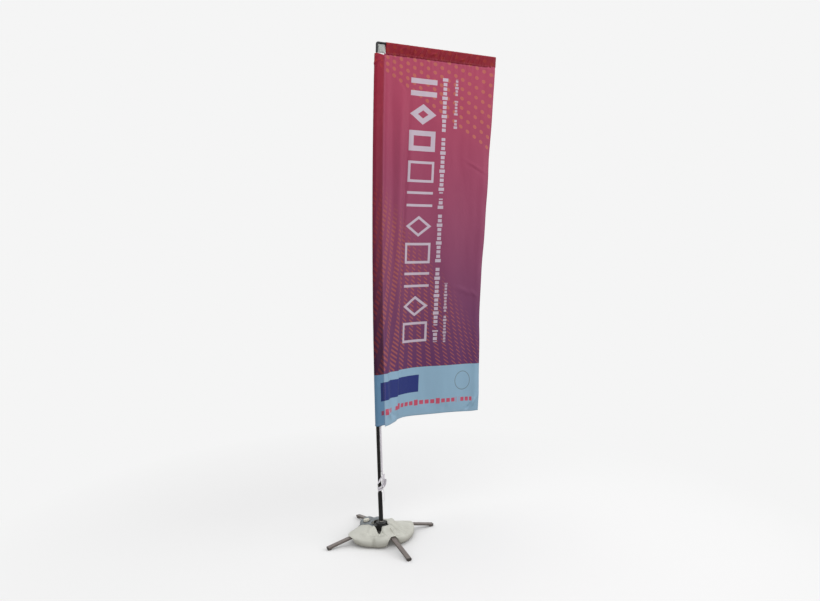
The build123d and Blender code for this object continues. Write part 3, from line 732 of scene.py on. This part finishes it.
def sleeve_piece(name, outline_places, origins, out_axes, heights, relief, material, flip):
    """A sleeve of cloth swept along a pole. relief gives each point's height out of the plain teardrop."""
    out, side, run = outline_places.T
    ends = np.gradient(outline_places[:, :2], axis=0)
    normal = np.stack([-ends[:, 1], ends[:, 0]], -1)
    normal /= np.linalg.norm(normal, axis=1, keepdims=True)
    face = np.where(np.arange(len(out)) < len(out) / 2, -1.0, 1.0)
    rise = relief(run, heights[:, None], face) * ease(run, 0.0, 0.006)
    out_now = out + normal[:, 0] * rise
    side_now = side + normal[:, 1] * rise + face * seam_gap
    points = origins[:, None, :] + out_now[..., None] * out_axes[:, None, :] + side_now[..., None] * sideways
    along = np.broadcast_to(heights[:, None], rise.shape)
    across = np.broadcast_to(run, rise.shape)
    places = np.stack([along, field_top + across] if flip else [-across, along], -1)
    piece = grid_piece(name, points, places, material)
    thicken(piece, cloth_thick)
    return piece


def mast_sleeve_relief(run, height, face):
    """Shallow crosswise creases and a slack swell beside the seam."""
    slack = 0.0016 * np.sin(height * 11.0 + face * 1.4) * bell(run, 0.022, 0.014)
    creases = 0.0009 * np.sin(height * 95.0 + run * 70.0 + 3.0 * np.sin(height * 13.0))
    fading = 0.35 + 0.65 * np.clip(np.sin(height * 5.3 + 0.8), 0, 1)
    top_pull = 0.0028 * bell((height - 2.705) + (run - 0.03) * 0.75, 0, 0.007)
    hem_roll = 0.0007 * bell(height, sleeve_bottom + 0.004, 0.006)
    return slack + creases * fading * bell(run, 0.03, 0.026) + top_pull + hem_roll


def make_mast_sleeve():
    """The pocket of cloth round the mast."""
    places = teardrop(sleeve_radius, sleeve_reach, 56)
    heights = np.linspace(sleeve_bottom, sleeve_top - 0.002, 460)
    lean = np.arcsin((heights - socket_top) / bow_radius)
    origins = np.stack([bow_offset(heights), 0 * heights, heights], -1)
    out_axes = np.stack([np.cos(lean), 0 * lean, -np.sin(lean)], -1)
    return sleeve_piece("mast_sleeve_cloth", places, origins, out_axes, heights, mast_sleeve_relief,
                        mast_sleeve_cloth, False)


def top_sleeve_relief(run, along, face):
    """Slanting drag creases, sharp on their crests, where the arm pulls the sleeve tight."""
    crease_pitch, crease_height, lean = 0.040, 0.0062, 14.0
    drift = 0.30 * np.sin(along * 31.0) + 0.22 * np.sin(along * 67.0 + 1.0)
    slant = along / crease_pitch - (0.05 - run) * lean * face + drift
    crest = (1 - np.abs(np.sin(math.pi * slant))) ** 2
    busy = 0.35 + 0.65 * ease(along, 0.04, 0.14) * (1 - ease(along, 0.52, 0.66))
    pucker = 0.0007 * np.sin(along * 2 * math.pi / 0.019) * bell(run, 0.004, 0.008)
    return crease_height * crest * busy * bell(run, 0.030, 0.026) + pucker


corner = np.array([float(bow_offset(np.array(corner_height))), 0.0, corner_height])
arm_end = 0.880
top_sleeve_end = (arm_end - corner[0]) / math.cos(arm_droop)


def make_top_sleeve():
    """The pocket of cloth round the arm."""
    places = teardrop(arm_sleeve_radius, arm_sleeve_reach, 60)
    along = np.linspace(arm_sleeve_start, top_sleeve_end, 300)
    origins = corner + along[:, None] * arm_out
    out_axes = np.broadcast_to(arm_down, origins.shape)
    shift = corner[0] - float(bow_offset(np.array(field_top))) - seam_x
    return sleeve_piece("top_sleeve_cloth", places, origins, out_axes, along + shift, top_sleeve_relief,
                        top_sleeve_cloth, True)


mast_sleeve = make_mast_sleeve()
top_sleeve = make_top_sleeve()


# --- flag: corner patch and its stitches --------------------------------------------------------
def stitches_along(name, points, outward, material, length=0.0030, gap=0.0014, radius=0.00045):
    """Thread stitches as small rounded bars along a line of points, standing out along a direction."""
    bm = bmesh.new()
    for start, end in zip(points, points[1:]):
        start, end = Vector(start), Vector(end)
        run = (end - start).length
        count = max(1, int(run / (length + gap)))
        direction = (end - start).normalized()
        out = Vector(outward).normalized()
        side = direction.cross(out).normalized()
        turn = Matrix((direction, side, out)).transposed().to_4x4()
        for i in range(count):
            middle = start + direction * ((i + 0.5) * run / count)
            shape = Matrix.Diagonal((length / 2, radius, radius, 1.0))
            bmesh.ops.create_icosphere(bm, subdivisions=1, radius=1.0,
                                       matrix=Matrix.Translation(middle) @ turn @ shape)
    mesh = bpy.data.meshes.new(name)
    bm.to_mesh(mesh)
    bm.free()
    mesh.materials.append(material)
    return link_piece(name, mesh)


patch_wide, patch_high, patch_inset = 0.042, 0.046, 0.00875


def patch_point(along, down, side):
    """Points of the corner patch from its corner beside the elbow, for numbers or arrays of them."""
    start = corner + arm_out * (patch_inset - 0.003) + arm_down * (patch_inset - 0.0005)
    along, down, side = (np.asarray(value)[..., None] for value in (along, down, side))
    return start + arm_out * along + arm_down * down + sideways * side


def make_corner_patch():
    """The pale reinforcement in the corner between mast and arm, crowned and puckered at its stitches."""
    across = np.linspace(0, patch_wide, 34)
    down = np.linspace(0, patch_high, 36)
    s, t = np.meshgrid(across, down)
    edge = np.minimum(np.minimum(s, patch_wide - s), np.minimum(t, patch_high - t))
    crown = 0.0016 * ease(edge, 0.0, 0.010) - 0.0006 * bell(edge, 0.0045, 0.0012)
    dimples = 0.0006 * np.sin(s * 620) * np.sin(t * 540) * ease(edge, 0.004, 0.012)
    points = patch_point(s, t, -0.0008 - crown - dimples)
    piece = grid_piece("corner_patch_cloth", points, np.stack([s, t], -1), pale_patch)
    thicken(piece, 0.0016, 1.0)
    return piece


corner_patch = make_corner_patch()
thread = webbing_material("thread", (150, 150, 152))
thread_dark = webbing_material("thread_dark", (88, 92, 96))
inset = 0.0045
patch_line = [patch_point(a, d, -0.0022) for a, d in (
    (inset, inset), (patch_wide - inset, inset), (patch_wide - inset, patch_high - inset),
    (inset, patch_high - inset), (inset, inset), (patch_wide - inset, patch_high - inset))]
patch_stitches = stitches_along("corner_patch_stitches", patch_line, -sideways, thread)


# --- strap, knot and tail -----------------------------------------------------------------------
def nurbs_route(name, points):
    """The smooth line that a cord's route gives, as an array of points along it."""
    curve = bpy.data.curves.new(name, "CURVE")
    curve.dimensions = "3D"
    curve.resolution_u = 24
    spline = curve.splines.new("NURBS")
    spline.points.add(len(points) - 1)
    for target, point in zip(spline.points, points):
        target.co = (*point, 1.0)
    spline.order_u = 3
    spline.use_endpoint_u = True
    guide = bpy.data.objects.new(name, curve)
    bpy.context.scene.collection.objects.link(guide)
    bpy.context.view_layer.update()
    line = bpy.data.meshes.new_from_object(guide)
    path = [tuple(vertex.co) for vertex in line.vertices]
    bpy.data.objects.remove(guide)
    bpy.data.curves.remove(curve)
    bpy.data.meshes.remove(line)
    return path


tape_sides = 18


def tape(name, path, width, thickness, across, material, cup=0.0, taper=0.0, closed=False):
    """A flat woven tape along a path. across gives the direction of its width at each point."""
    path = np.array(path, float)
    across = np.broadcast_to(np.array(across, float), path.shape).copy()
    if closed:
        forward = np.roll(path, -1, 0) - np.roll(path, 1, 0)
    else:
        forward = np.gradient(path, axis=0)
    forward /= np.linalg.norm(forward, axis=1, keepdims=True)
    across -= forward * (across * forward).sum(1, keepdims=True)
    across /= np.linalg.norm(across, axis=1, keepdims=True)
    up = np.cross(forward, across)
    runs = np.concatenate([[0], np.cumsum(np.linalg.norm(np.diff(path, axis=0), axis=1))])
    half_w, half_t, ring = width / 2, thickness / 2, []
    for step in range(tape_sides):
        angle = 2 * math.pi * step / tape_sides
        x = math.copysign(abs(math.cos(angle)) ** 0.25, math.cos(angle)) * half_w
        y = math.copysign(abs(math.sin(angle)) ** 0.6, math.sin(angle)) * half_t
        ring.append((x, y - cup * (x / half_w) ** 2))
    ring = np.array(ring)
    narrow = 1 - taper * ease(runs, runs[-1] * 0.8, runs[-1])
    wide = (ring[:, 0] * narrow[:, None])[..., None]
    points = path[:, None] + across[:, None] * wide + up[:, None] * ring[:, 1, None]
    places = np.stack(np.broadcast_arrays(ring[:, 0], runs[:, None]), -1)
    piece = grid_piece(name, points, places, material, closed_rows=closed, closed_columns=True)
    if not closed:
        cap_ends(piece)
    return piece


def cap_ends(piece):
    """Closes the open ends of a tube."""
    bm = bmesh.new()
    bm.from_mesh(piece.data)
    bmesh.ops.holes_fill(bm, edges=[edge for edge in bm.edges if edge.is_boundary])
    bmesh.ops.recalc_face_normals(bm, faces=bm.faces)
    bm.to_mesh(piece.data)
    bm.free()


strap_x = float(bow_offset(np.array(sleeve_bottom))) + 0.017
strap_top = sleeve_bottom + 0.004
strap_route = [
    (strap_x, 0.0, strap_top), (strap_x - 0.0010, -0.0010, 0.580), (strap_x - 0.0022, -0.0024, 0.480),
    (0.0158, -0.0042, 0.3841),
]
tail_route = [
    (0.018, -0.008, 0.288), (0.0212, -0.0094, 0.268), (0.023, -0.0102, 0.246),
    (0.0214, -0.0095, 0.226), (0.0188, -0.0083, 0.209),
]
strap_path = nurbs_route("strap_guide", strap_route)
tail_path = nurbs_route("tail_guide", tail_route)
tension_strap = tape("tension_strap_tape", strap_path, strap_width, strap_thick, (1, -0.12, 0), strap_tape,
                     cup=0.0006)
strap_tail = tape("strap_tail_tape", tail_path, tail_width, strap_thick, (0.41, 0.91, 0), strap_tape,
                  cup=0.0008, taper=0.35)


def make_knot():
    """The strap wound round the mast and tied off in two small bows."""
    turns = {
        "knot_wrap_high": ([(0.0160, -0.0045, 0.386), (0.0125, -0.0110, 0.366), (0.0010, -0.0140, 0.344),
                            (-0.0112, -0.0090, 0.327), (-0.0130, 0.0030, 0.314), (-0.0040, 0.0125, 0.306),
                            (0.0080, 0.0108, 0.303), (0.0135, 0.0010, 0.302), (0.0150, -0.0070, 0.303)],
                           0.0105, (0.25, 0.1, 1.0)),
        "knot_wrap_middle": ([(0.0160, -0.0080, 0.309), (0.0070, -0.0135, 0.303), (-0.0040, -0.0138, 0.297),
                              (-0.0130, -0.0050, 0.293), (-0.0110, 0.0080, 0.292), (0.0000, 0.0130, 0.292),
                              (0.0110, 0.0080, 0.293), (0.0145, -0.0010, 0.294), (0.0160, -0.0075, 0.296)],
                             0.0110, (0.0, 0.0, 1.0)),
        "knot_wrap_low": ([(0.0165, -0.0075, 0.293), (0.0080, -0.0150, 0.287), (-0.0035, -0.0140, 0.284),
                           (-0.0125, -0.0050, 0.281), (-0.0105, 0.0078, 0.279), (0.0000, 0.0125, 0.279),
                           (0.0105, 0.0076, 0.281), (0.0140, -0.0010, 0.285), (0.0165, -0.0080, 0.290)],
                          0.0100, (0.0, 0.0, 1.0)),
        "knot_bow_right": ([(0.0165, -0.0085, 0.300), (0.0235, -0.0125, 0.322), (0.0300, -0.0150, 0.344),
                            (0.0325, -0.0155, 0.337), (0.0300, -0.0150, 0.316), (0.0235, -0.0125, 0.300),
                            (0.0165, -0.0090, 0.297)], 0.0110, (0.35, -0.9, 0.1)),
        "knot_bow_high": ([(0.0160, -0.0080, 0.302), (0.0150, -0.0140, 0.325), (0.0175, -0.0172, 0.352),
                           (0.0205, -0.0160, 0.377), (0.0220, -0.0120, 0.366), (0.0208, -0.0095, 0.335),
                           (0.0175, -0.0080, 0.303)], 0.0125, (0.9, -0.2, 0.1)),
        "knot_band": ([(0.0105, -0.0155, 0.300), (0.0150, -0.0185, 0.306), (0.0205, -0.0165, 0.303),
                       (0.0225, -0.0105, 0.298), (0.0190, -0.0050, 0.295), (0.0125, -0.0075, 0.296),
                       (0.0105, -0.0150, 0.299)], 0.0090, (0.1, 0.1, 1.0)),
    }
    pieces = [tape(name, nurbs_route(name, route), width, 0.0013, across, strap_tape, cup=0.0005)
              for name, (route, width, across) in turns.items()]
    bpy.ops.object.select_all(action="DESELECT")
    for piece in pieces:
        piece.select_set(True)
    bpy.context.view_layer.objects.active = pieces[0]
    bpy.ops.object.join()
    pieces[0].name = "strap_knot_turns"
    return pieces[0]


strap_knot = make_knot()
finish_node("hem_tab", strap_tape)
tab_line = [(strap_x + side * 0.0046, -0.0011, sleeve_bottom + low) for side, low in (
    (-1, 0.008), (1, 0.008), (1, 0.036), (-1, 0.036), (-1, 0.008))]
tab_stitches = stitches_along("hem_tab_stitches", tab_line, -sideways, thread)


# --- water bag ----------------------------------------------------------------------------------
slit_half = 0.018
hub_arm_top, hub_boss_top = 0.0865, 0.088  # the lowest the bag's underside may lie over the hub
rim_over_leg = 0.0500
skin_rise = 0.0035                         # the bag's least thickness where it lies on something
# The bag runs once round from one side of its slit to the other, over the legs at -90 to 270 degrees.
bag_reach = (0.152, 0.201, 0.196, 0.201, 0.150)  # over each leg
bag_rim_sag = (0.004, 0.055, 0.064, 0.014)       # how far the rim draws in between one leg and the next
bag_rim_height = (0.030, 0.040, 0.043, 0.027)
bag_hole = ((-90, 0.056), (-40, 0.036), (0, 0.0345), (45, 0.036), (90, 0.044), (135, 0.052), (180, 0.062),
            (220, 0.074), (240, 0.097), (255, 0.078), (270, 0.062))
bag_top = smooth_curve((0.03, 0.06, 0.09, 0.12, 0.15, 0.18, 0.20, 0.22),
                       (0.0985, 0.0935, 0.0845, 0.0735, 0.0650, 0.0575, 0.0530, 0.0480))
bag_floor = 0.0025
# Folds that run outwards: angle, half width in degrees, height, and the radii between which they lie.
bag_folds = (
    (-74, 4.0, -0.0035, 0.060, 0.150), (-63, 4.5, 0.0055, 0.045, 0.165), (-52, 4.0, -0.0050, 0.045, 0.160),
    (-41, 5.0, 0.0050, 0.045, 0.175), (-29, 4.0, -0.0045, 0.055, 0.165), (-18, 4.0, 0.0030, 0.070, 0.190),
    (-8, 3.0, -0.0020, 0.080, 0.190), (18, 6.0, -0.0030, 0.060, 0.190), (34, 6.0, 0.0030, 0.060, 0.180),
    (56, 6.0, -0.0030, 0.060, 0.170), (112, 7.0, 0.0020, 0.070, 0.160), (160, 6.0, -0.0020, 0.080, 0.160),
    (196, 5.0, -0.0025, 0.080, 0.190), (206, 5.0, 0.0030, 0.085, 0.175), (217, 5.0, -0.0025, 0.090, 0.150),
    (229, 5.0, 0.0025, 0.105, 0.160), (244, 3.5, -0.0030, 0.100, 0.135), (251, 3.0, 0.0035, 0.085, 0.130),
    (257, 2.5, -0.0035, 0.070, 0.120), (263, 2.5, 0.0030, 0.060, 0.115),
)


def bag_clearance(x, y):
    """Lowest height the bag's underside may have over the floor, the legs and the hub's arms."""
    lowest = np.full_like(x, bag_floor)
    for angle in leg_angles.values():
        cosine, sine = math.cos(math.radians(angle)), math.sin(math.radians(angle))
        out, aside = x * cosine + y * sine, np.abs(y * cosine - x * sine)
        leg_top = leg_apex - math.tan(leg_slope) * out + leg_half_thick * 1.03 + 0.0025
        beside = 1 - ease(aside, leg_half_width + 0.003, leg_half_width + 0.030)
        lowest = np.where(out > 0, np.maximum(lowest, bag_floor + (leg_top - bag_floor) * beside), lowest)
        arm = (1 - ease(aside, 0.024, 0.040)) * (1 - ease(out, 0.080, 0.100))
        lowest = np.where(out > 0, np.maximum(lowest, bag_floor + (hub_arm_top - bag_floor) * arm), lowest)
    boss = 1 - ease(np.hypot(x, y), 0.034, 0.050)
    return np.maximum(lowest, bag_floor + (hub_boss_top - bag_floor) * boss)


def bag_relief(angle, radius):
    """Folds and soft waves of the bag's upper skin, in metres upwards."""
    height = np.zeros_like(radius)
    for place, width, depth, low, high in bag_folds:
        length = ease(radius, low - 0.015, low + 0.02) * (1 - ease(radius, high - 0.03, high + 0.01))
        bent = angle - place + 60 * (radius - 0.11) * math.sin(place)
        height += depth * np.exp(-np.abs(bent / width) ** 1.5) * length
    front = ease(angle, 188, 200) * (1 - ease(angle, 256, 266))
    height += front * (0.0045 * bell(radius, 0.141, 0.012) - 0.0045 * bell(radius, 0.121, 0.012))
    height -= 0.014 * bell(angle, 238, 22) * bell(radius, 0.098, 0.026)
    right = ease(angle, -85, -70) * (1 - ease(angle, -15, 0))
    height += right * (0.003 * bell(radius, 0.150, 0.015) - 0.004 * bell(radius, 0.085, 0.020))
    return height


def bag_section_points(angle):
    """The bag's closed sections, from the hole's rim over the top to the outer rim and back below."""
    angle = angle[:, None]
    turn = np.radians(angle)
    quarter = np.clip(np.floor((angle + 90) / 90).astype(int), 0, 3)
    share = (angle + 90) / 90 - quarter
    reach = np.array(bag_reach)[quarter] * (1 - share) + np.array(bag_reach)[quarter + 1] * share
    between = np.sin(2 * turn) ** 2
    outer = reach - np.array(bag_rim_sag)[quarter] * between
    rim_height = rim_over_leg * (1 - between) + np.array(bag_rim_height)[quarter] * between
    hole_angles, hole_radii = np.array(bag_hole).T
    inner = smooth_curve(hole_angles, hole_radii)(angle)
    around = np.linspace(0, 2 * math.pi, 96, endpoint=False)
    rho = -np.cos(around)
    swell = np.abs(np.sin(around))
    radius = inner + (outer - inner) * (rho + 1) / 2
    notch = 0.009 * bell(angle, 228, 3.5) * ease(rho, 0.6, 1.0)
    welt = 0.0016 * bell(around, math.pi, 0.045)
    radius = radius - notch + welt
    side = np.where(angle < 90, 1.0, -1.0)
    from_slit = np.where(angle < 90, angle + 90, 270 - angle)
    x = radius * np.cos(turn) + side * slit_half * (1 - ease(from_slit, 0, 45))
    y = radius * np.sin(turn)
    low = bag_clearance(x, y)
    sink = 0.009 * between * ease(radius, 0.07, 0.16)
    flat = bell(angle, 42, 34) * between * ease(radius, 0.045, 0.085)
    top = bag_top(radius) - sink + bag_relief(np.broadcast_to(angle, radius.shape), radius)
    top = top - flat * 0.68 * (top - bag_floor)
    beside_b = np.where(angle > 0, bell(angle, 0, 26), bell(angle, 0, 9))
    beside_a = np.where(angle > 90, bell(angle, 90, 8), bell(angle, 90, 24))
    hug = np.maximum(beside_b, beside_a) * ease(radius, 0.05, 0.085)
    top = top + hug * (np.minimum(top, low + skin_rise) - top)
    top = np.maximum(top, low + skin_rise)
    inner_low = bag_clearance(x[:, :1], y[:, :1]) + 0.002
    inner_height = np.maximum(inner_low, hub_arm_top - 0.018 * bell(angle, 240, 16))
    middle = inner_height * (1 - rho) / 2 + rim_height * (1 + rho) / 2
    middle = np.clip(middle, low + 0.002, np.maximum(top - 0.002, low + 0.0022))
    upper_skin = middle + (top - middle) * swell ** 0.62
    lower_skin = middle + (low - middle) * swell ** 0.42
    return np.stack([x, y, np.where(around < math.pi, upper_skin, lower_skin)], -1)


def flatten_for_cap(points):
    """Lays the skin flat under the filler's flange."""
    offset = points - np.array(cap_centre)
    above = offset @ np.array(cap_axis)
    away = np.linalg.norm(offset - above[..., None] * np.array(cap_axis), axis=-1)
    plane = points[..., 2] - (above + 0.0004) / cap_axis.z
    hold = (1 - ease(away, 0.025, 0.044)) * (points[..., 2] > 0.052)
    points[..., 2] += hold * (plane - points[..., 2])


def make_bag():
    """The water bag's skin: one ring with a slit over leg D, whose two ends are closed faces."""
    angle = np.linspace(-90, 270, 341)
    points = bag_section_points(angle)
    crumple = 0.0016 * cloud(points, 22.0) + 0.0007 * cloud(points, 60.0, 3.0)
    upper = (points[..., 2] > 0.030)
    points[..., 2] += crumple * upper
    flatten_for_cap(points)
    mirror = points[:, (-np.arange(points.shape[1])) % points.shape[1]]
    centre = (points + mirror) / 2
    first, last = [], []
    for keep, push in ((0.0, 0.0030), (0.45, 0.0030), (0.85, 0.0026), (0.96, 0.0014)):
        for target, row, sign in ((first, 0, -1), (last, -1, 1)):
            section = centre[row] + (points[row] - centre[row]) * keep
            target.append(section + np.array([sign * push, 0, 0]))
    points = np.concatenate([np.array(first), points, np.array(last[::-1])])
    piece = grid_piece("water_bag", points, points[..., :2], bag_skin, closed_columns=True)
    bm = bmesh.new()
    bm.from_mesh(piece.data)
    bmesh.ops.remove_doubles(bm, verts=bm.verts, dist=0.00002)
    bmesh.ops.recalc_face_normals(bm, faces=bm.faces)
    bm.to_mesh(piece.data)
    bm.free()
    return piece


water_bag = make_bag()

panel_edge_low, panel_edge_high = Vector((-0.068, -0.022, 0)), Vector((-0.110, 0.092, 0))
panel_right, panel_shoulder = 0.024, 0.020  # its right side, and where that side starts to slant
panel_lift, panel_thick = 0.0006, 0.0011


def make_panel():
    """The slate panel: a second skin over the bag's back left, cut along straight seams."""
    bm = bmesh.new()
    bm.from_mesh(water_bag.data)
    edge = (panel_edge_high - panel_edge_low).normalized()
    cuts = (
        (panel_edge_low, Vector((-edge.y, edge.x, 0))),
        (Vector((panel_right, 0, 0)), Vector((1, 0, 0))),
        (Vector((panel_right, panel_shoulder, 0)), Vector((0.469, -0.883, 0))),
        (Vector((0, 0, 0.012)), Vector((0, 0, -1))),
    )
    for place, outwards in cuts:
        geometry = bm.verts[:] + bm.edges[:] + bm.faces[:]
        bmesh.ops.bisect_plane(bm, geom=geometry, plane_co=place, plane_no=outwards, clear_outer=True)
    under = [face for face in bm.faces if face.normal.z < -0.35]
    bmesh.ops.delete(bm, geom=under, context="FACES")
    inner = [face for face in bm.faces if face.calc_center_median().xy.length < 0.058
             and face.normal.z < 0.2]
    bmesh.ops.delete(bm, geom=inner, context="FACES")
    bm.normal_update()
    for vertex in bm.verts:
        vertex.co += vertex.normal * panel_lift
    mesh = bpy.data.meshes.new("bag_panel")
    bm.to_mesh(mesh)
    bm.free()
    mesh.materials.clear()
    mesh.materials.append(panel_skin)
    piece = link_piece("bag_panel", mesh)
    thicken(piece, panel_thick, 1.0)
    return piece


bag_panel = make_panel()
bpy.context.view_layer.update()


def on_bag(x, y):
    """The point of the bag's upper skin above a place in plan, or one at 20 mm where there is none."""
    hit, place, _, _ = water_bag.ray_cast(Vector((x, y, 0.2)), Vector((0, 0, -1)))
    return place if hit else Vector((x, y, 0.020))


def panel_seam_line(offset, count=46):
    """Points on the bag along the slanting edge of the slate panel."""
    edge = (panel_edge_high - panel_edge_low).normalized()
    inward = Vector((edge.y, -edge.x, 0))
    length = (panel_edge_high - panel_edge_low).length
    line = []
    for step in range(count):
        place = panel_edge_low + edge * (length * (0.02 + 0.98 * step / (count - 1))) + inward * offset
        line.append(on_bag(place.x, place.y) + Vector((0, 0, 0.0019)))
    return line


panel_stitches = [stitches_along(f"bag_panel_stitches_{row}", panel_seam_line(offset), (0, 0, 1), thread_dark)
                  for row, offset in (("outer", 0.003), ("inner", 0.008))]


flap_half, flap_inner, flap_outer = 0.036, 0.060, 0.1495


def make_flap():
    """The flap that closes the slit from the hole to the rim, lying on leg D."""
    across = np.linspace(-flap_half, flap_half, 46)
    outward = np.linspace(flap_inner, flap_outer, 44)
    s, t = np.meshgrid(across, outward)
    lean = (t - 0.09) * 0.10
    points = np.stack([s + lean, -t, np.zeros_like(s)], -1)
    over_leg = bag_clearance(points[..., 0], points[..., 1]) + 0.0042
    skin = np.array([[on_bag(x, y)[2] for x, y, _ in row] for row in points])
    beside = ease(np.abs(points[..., 0]), slit_half + 0.001, slit_half + 0.006)
    points[..., 2] = over_leg * (1 - beside) + np.maximum(skin, over_leg - 0.002) * beside + 0.0011
    heights = points[..., 2]
    for _ in range(10):
        near = (heights[:-2, 1:-1] + heights[2:, 1:-1] + heights[1:-1, :-2] + heights[1:-1, 2:]) / 4
        heights[1:-1, 1:-1] = np.maximum(heights[1:-1, 1:-1], heights[1:-1, 1:-1] * 0.3 + near * 0.7)
    heights += 0.0007 * cloud(points, 45.0, 5.0)
    piece = grid_piece("bag_slit_flap", points, np.stack([s, t], -1), bag_skin)
    thicken(piece, 0.0012, 1.0)
    return piece


bag_flap = make_flap()


# --- floor, lights and camera -------------------------------------------------------------------
backdrop_colour = (0.913, 0.913, 0.913, 1)
ground_colour = (0.20, 0.19, 0.175, 1)
floor_size, floor_shade = 2000, (0.76, 0.76, 0.76, 1)
fade_start, fade_length = 0.5, 2.0   # where the floor's shading runs out into the backdrop
sky_slope, sky_lift = 0.04, 1.9      # the sky's colour ends just below the horizon


def make_floor():
    """A plain pale floor round the flag, which runs out into an even backdrop without a horizon."""
    bpy.ops.mesh.primitive_plane_add(size=floor_size, location=(0, 0, 0))
    floor = bpy.context.object
    floor.name = "studio_floor"
    material, tree, shader = new_material("studio_floor", 0.95, specular=0.0)
    shader.inputs["Base Color"].default_value = floor_shade
    even = tree.nodes.new("ShaderNodeEmission")
    even.inputs["Color"].default_value = backdrop_colour
    position = tree.nodes.new("ShaderNodeNewGeometry")
    away = tree.nodes.new("ShaderNodeVectorMath")
    away.operation = "LENGTH"
    tree.links.new(position.outputs["Position"], away.inputs[0])
    far = ((Num(tree, away.outputs["Value"]) - fade_start) / fade_length).clamp()
    both = tree.nodes.new("ShaderNodeMixShader")
    tree.links.new(far.socket, both.inputs["Fac"])
    tree.links.new(shader.outputs["BSDF"], both.inputs[1])
    tree.links.new(even.outputs["Emission"], both.inputs[2])
    surface = next(node for node in tree.nodes if node.type == "OUTPUT_MATERIAL")
    tree.links.new(both.outputs["Shader"], surface.inputs["Surface"])
    floor.data.materials.append(material)
    floor.visible_diffuse = False
    floor.visible_glossy = False


def make_sky():
    """An even pale sky above and dull ground below, as on an overcast day on paving."""
    world = bpy.data.worlds.new("overcast")
    world.use_nodes = True
    tree = world.node_tree
    direction = tree.nodes.new("ShaderNodeTexCoord")
    height = axes_of(tree, direction.outputs["Generated"])[2]
    above = (height / sky_slope + sky_lift).clamp()
    colour = mix(tree, above, ground_colour, backdrop_colour)
    tree.links.new(colour, tree.nodes["Background"].inputs["Color"])
    bpy.context.scene.world = world


def area_light(name, place, target, size, power, colour=(1, 1, 1)):
    """A soft rectangular light aimed at a point."""
    light = bpy.data.lights.new(name, "AREA")
    light.shape = "RECTANGLE"
    light.size, light.size_y = size
    light.energy = power
    light.color = colour
    lamp = bpy.data.objects.new(name, light)
    lamp.location = place
    lamp.rotation_euler = (Vector(target) - Vector(place)).to_track_quat("-Z", "Y").to_euler()
    bpy.context.scene.collection.objects.link(lamp)


camera_place = (-1.5241, -3.2685, 1.602)  # eye height, in front of the flag and to its left
camera_tilt, camera_roll, camera_heading = 86.3269, 2.3651, -23.8518  # degrees
sensor_width, lens_length, frame_shift = 36.0, 28.23, 0.0637


def make_camera():
    """The camera at the flag's viewing angle, standing at eye height to its front left."""
    camera_data = bpy.data.cameras.new("camera")
    camera_data.sensor_width = sensor_width
    camera_data.lens = lens_length
    camera_data.shift_x = frame_shift
    camera_data.clip_end = 2 * floor_size
    camera = bpy.data.objects.new("camera", camera_data)
    camera.location = camera_place
    camera.rotation_euler = [math.radians(angle) for angle in (camera_tilt, camera_roll, camera_heading)]
    bpy.context.scene.collection.objects.link(camera)
    bpy.context.scene.camera = camera


make_floor()
make_camera()
make_sky()
area_light("sky_panel", (0.3, -0.6, 5.2), (0.3, 0.1, 0.9), (5.0, 5.0), 45)
area_light("front_panel", (-2.6, -4.6, 3.0), (0.3, 0.0, 1.3), (3.0, 3.0), 50)
area_light("right_panel", (4.0, -2.6, 2.6), (0.3, 0.0, 1.2), (2.4, 3.2), 80)
bpy.context.scene.view_settings.view_transform = "Standard"


# --- what rides on what, and what stands for what -----------------------------------------------
for piece, slot_name in ((flag_cloth, "flag_print"), (mast_sleeve, "sleeve_fabric"),
                         (top_sleeve, "sleeve_fabric"), (corner_patch, "patch_fabric"),
                         (patch_stitches, "patch_fabric"), (tension_strap, "strap_webbing"),
                         (strap_tail, "strap_webbing"), (strap_knot, "strap_webbing"),
                         (tab_stitches, "strap_webbing")):
    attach(piece, "mast")
for piece, slot_name in ((water_bag, "bag_pvc"), (bag_flap, "bag_pvc"), (bag_panel, "panel_pvc"),
                         (panel_stitches[0], "panel_pvc"), (panel_stitches[1], "panel_pvc")):
    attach(piece, "bag")

for piece, node_name in ((flag_cloth, "flag_field"), (mast_sleeve, "mast_sleeve"), (top_sleeve, "top_sleeve"),
                         (corner_patch, "corner_patch"), (tension_strap, "tension_strap"),
                         (strap_tail, "strap_tail"), (strap_knot, "strap_knot")):
    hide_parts(node_name)
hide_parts("bag_front_chamber", "bag_right_chamber")
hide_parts("bag_filler_panel")
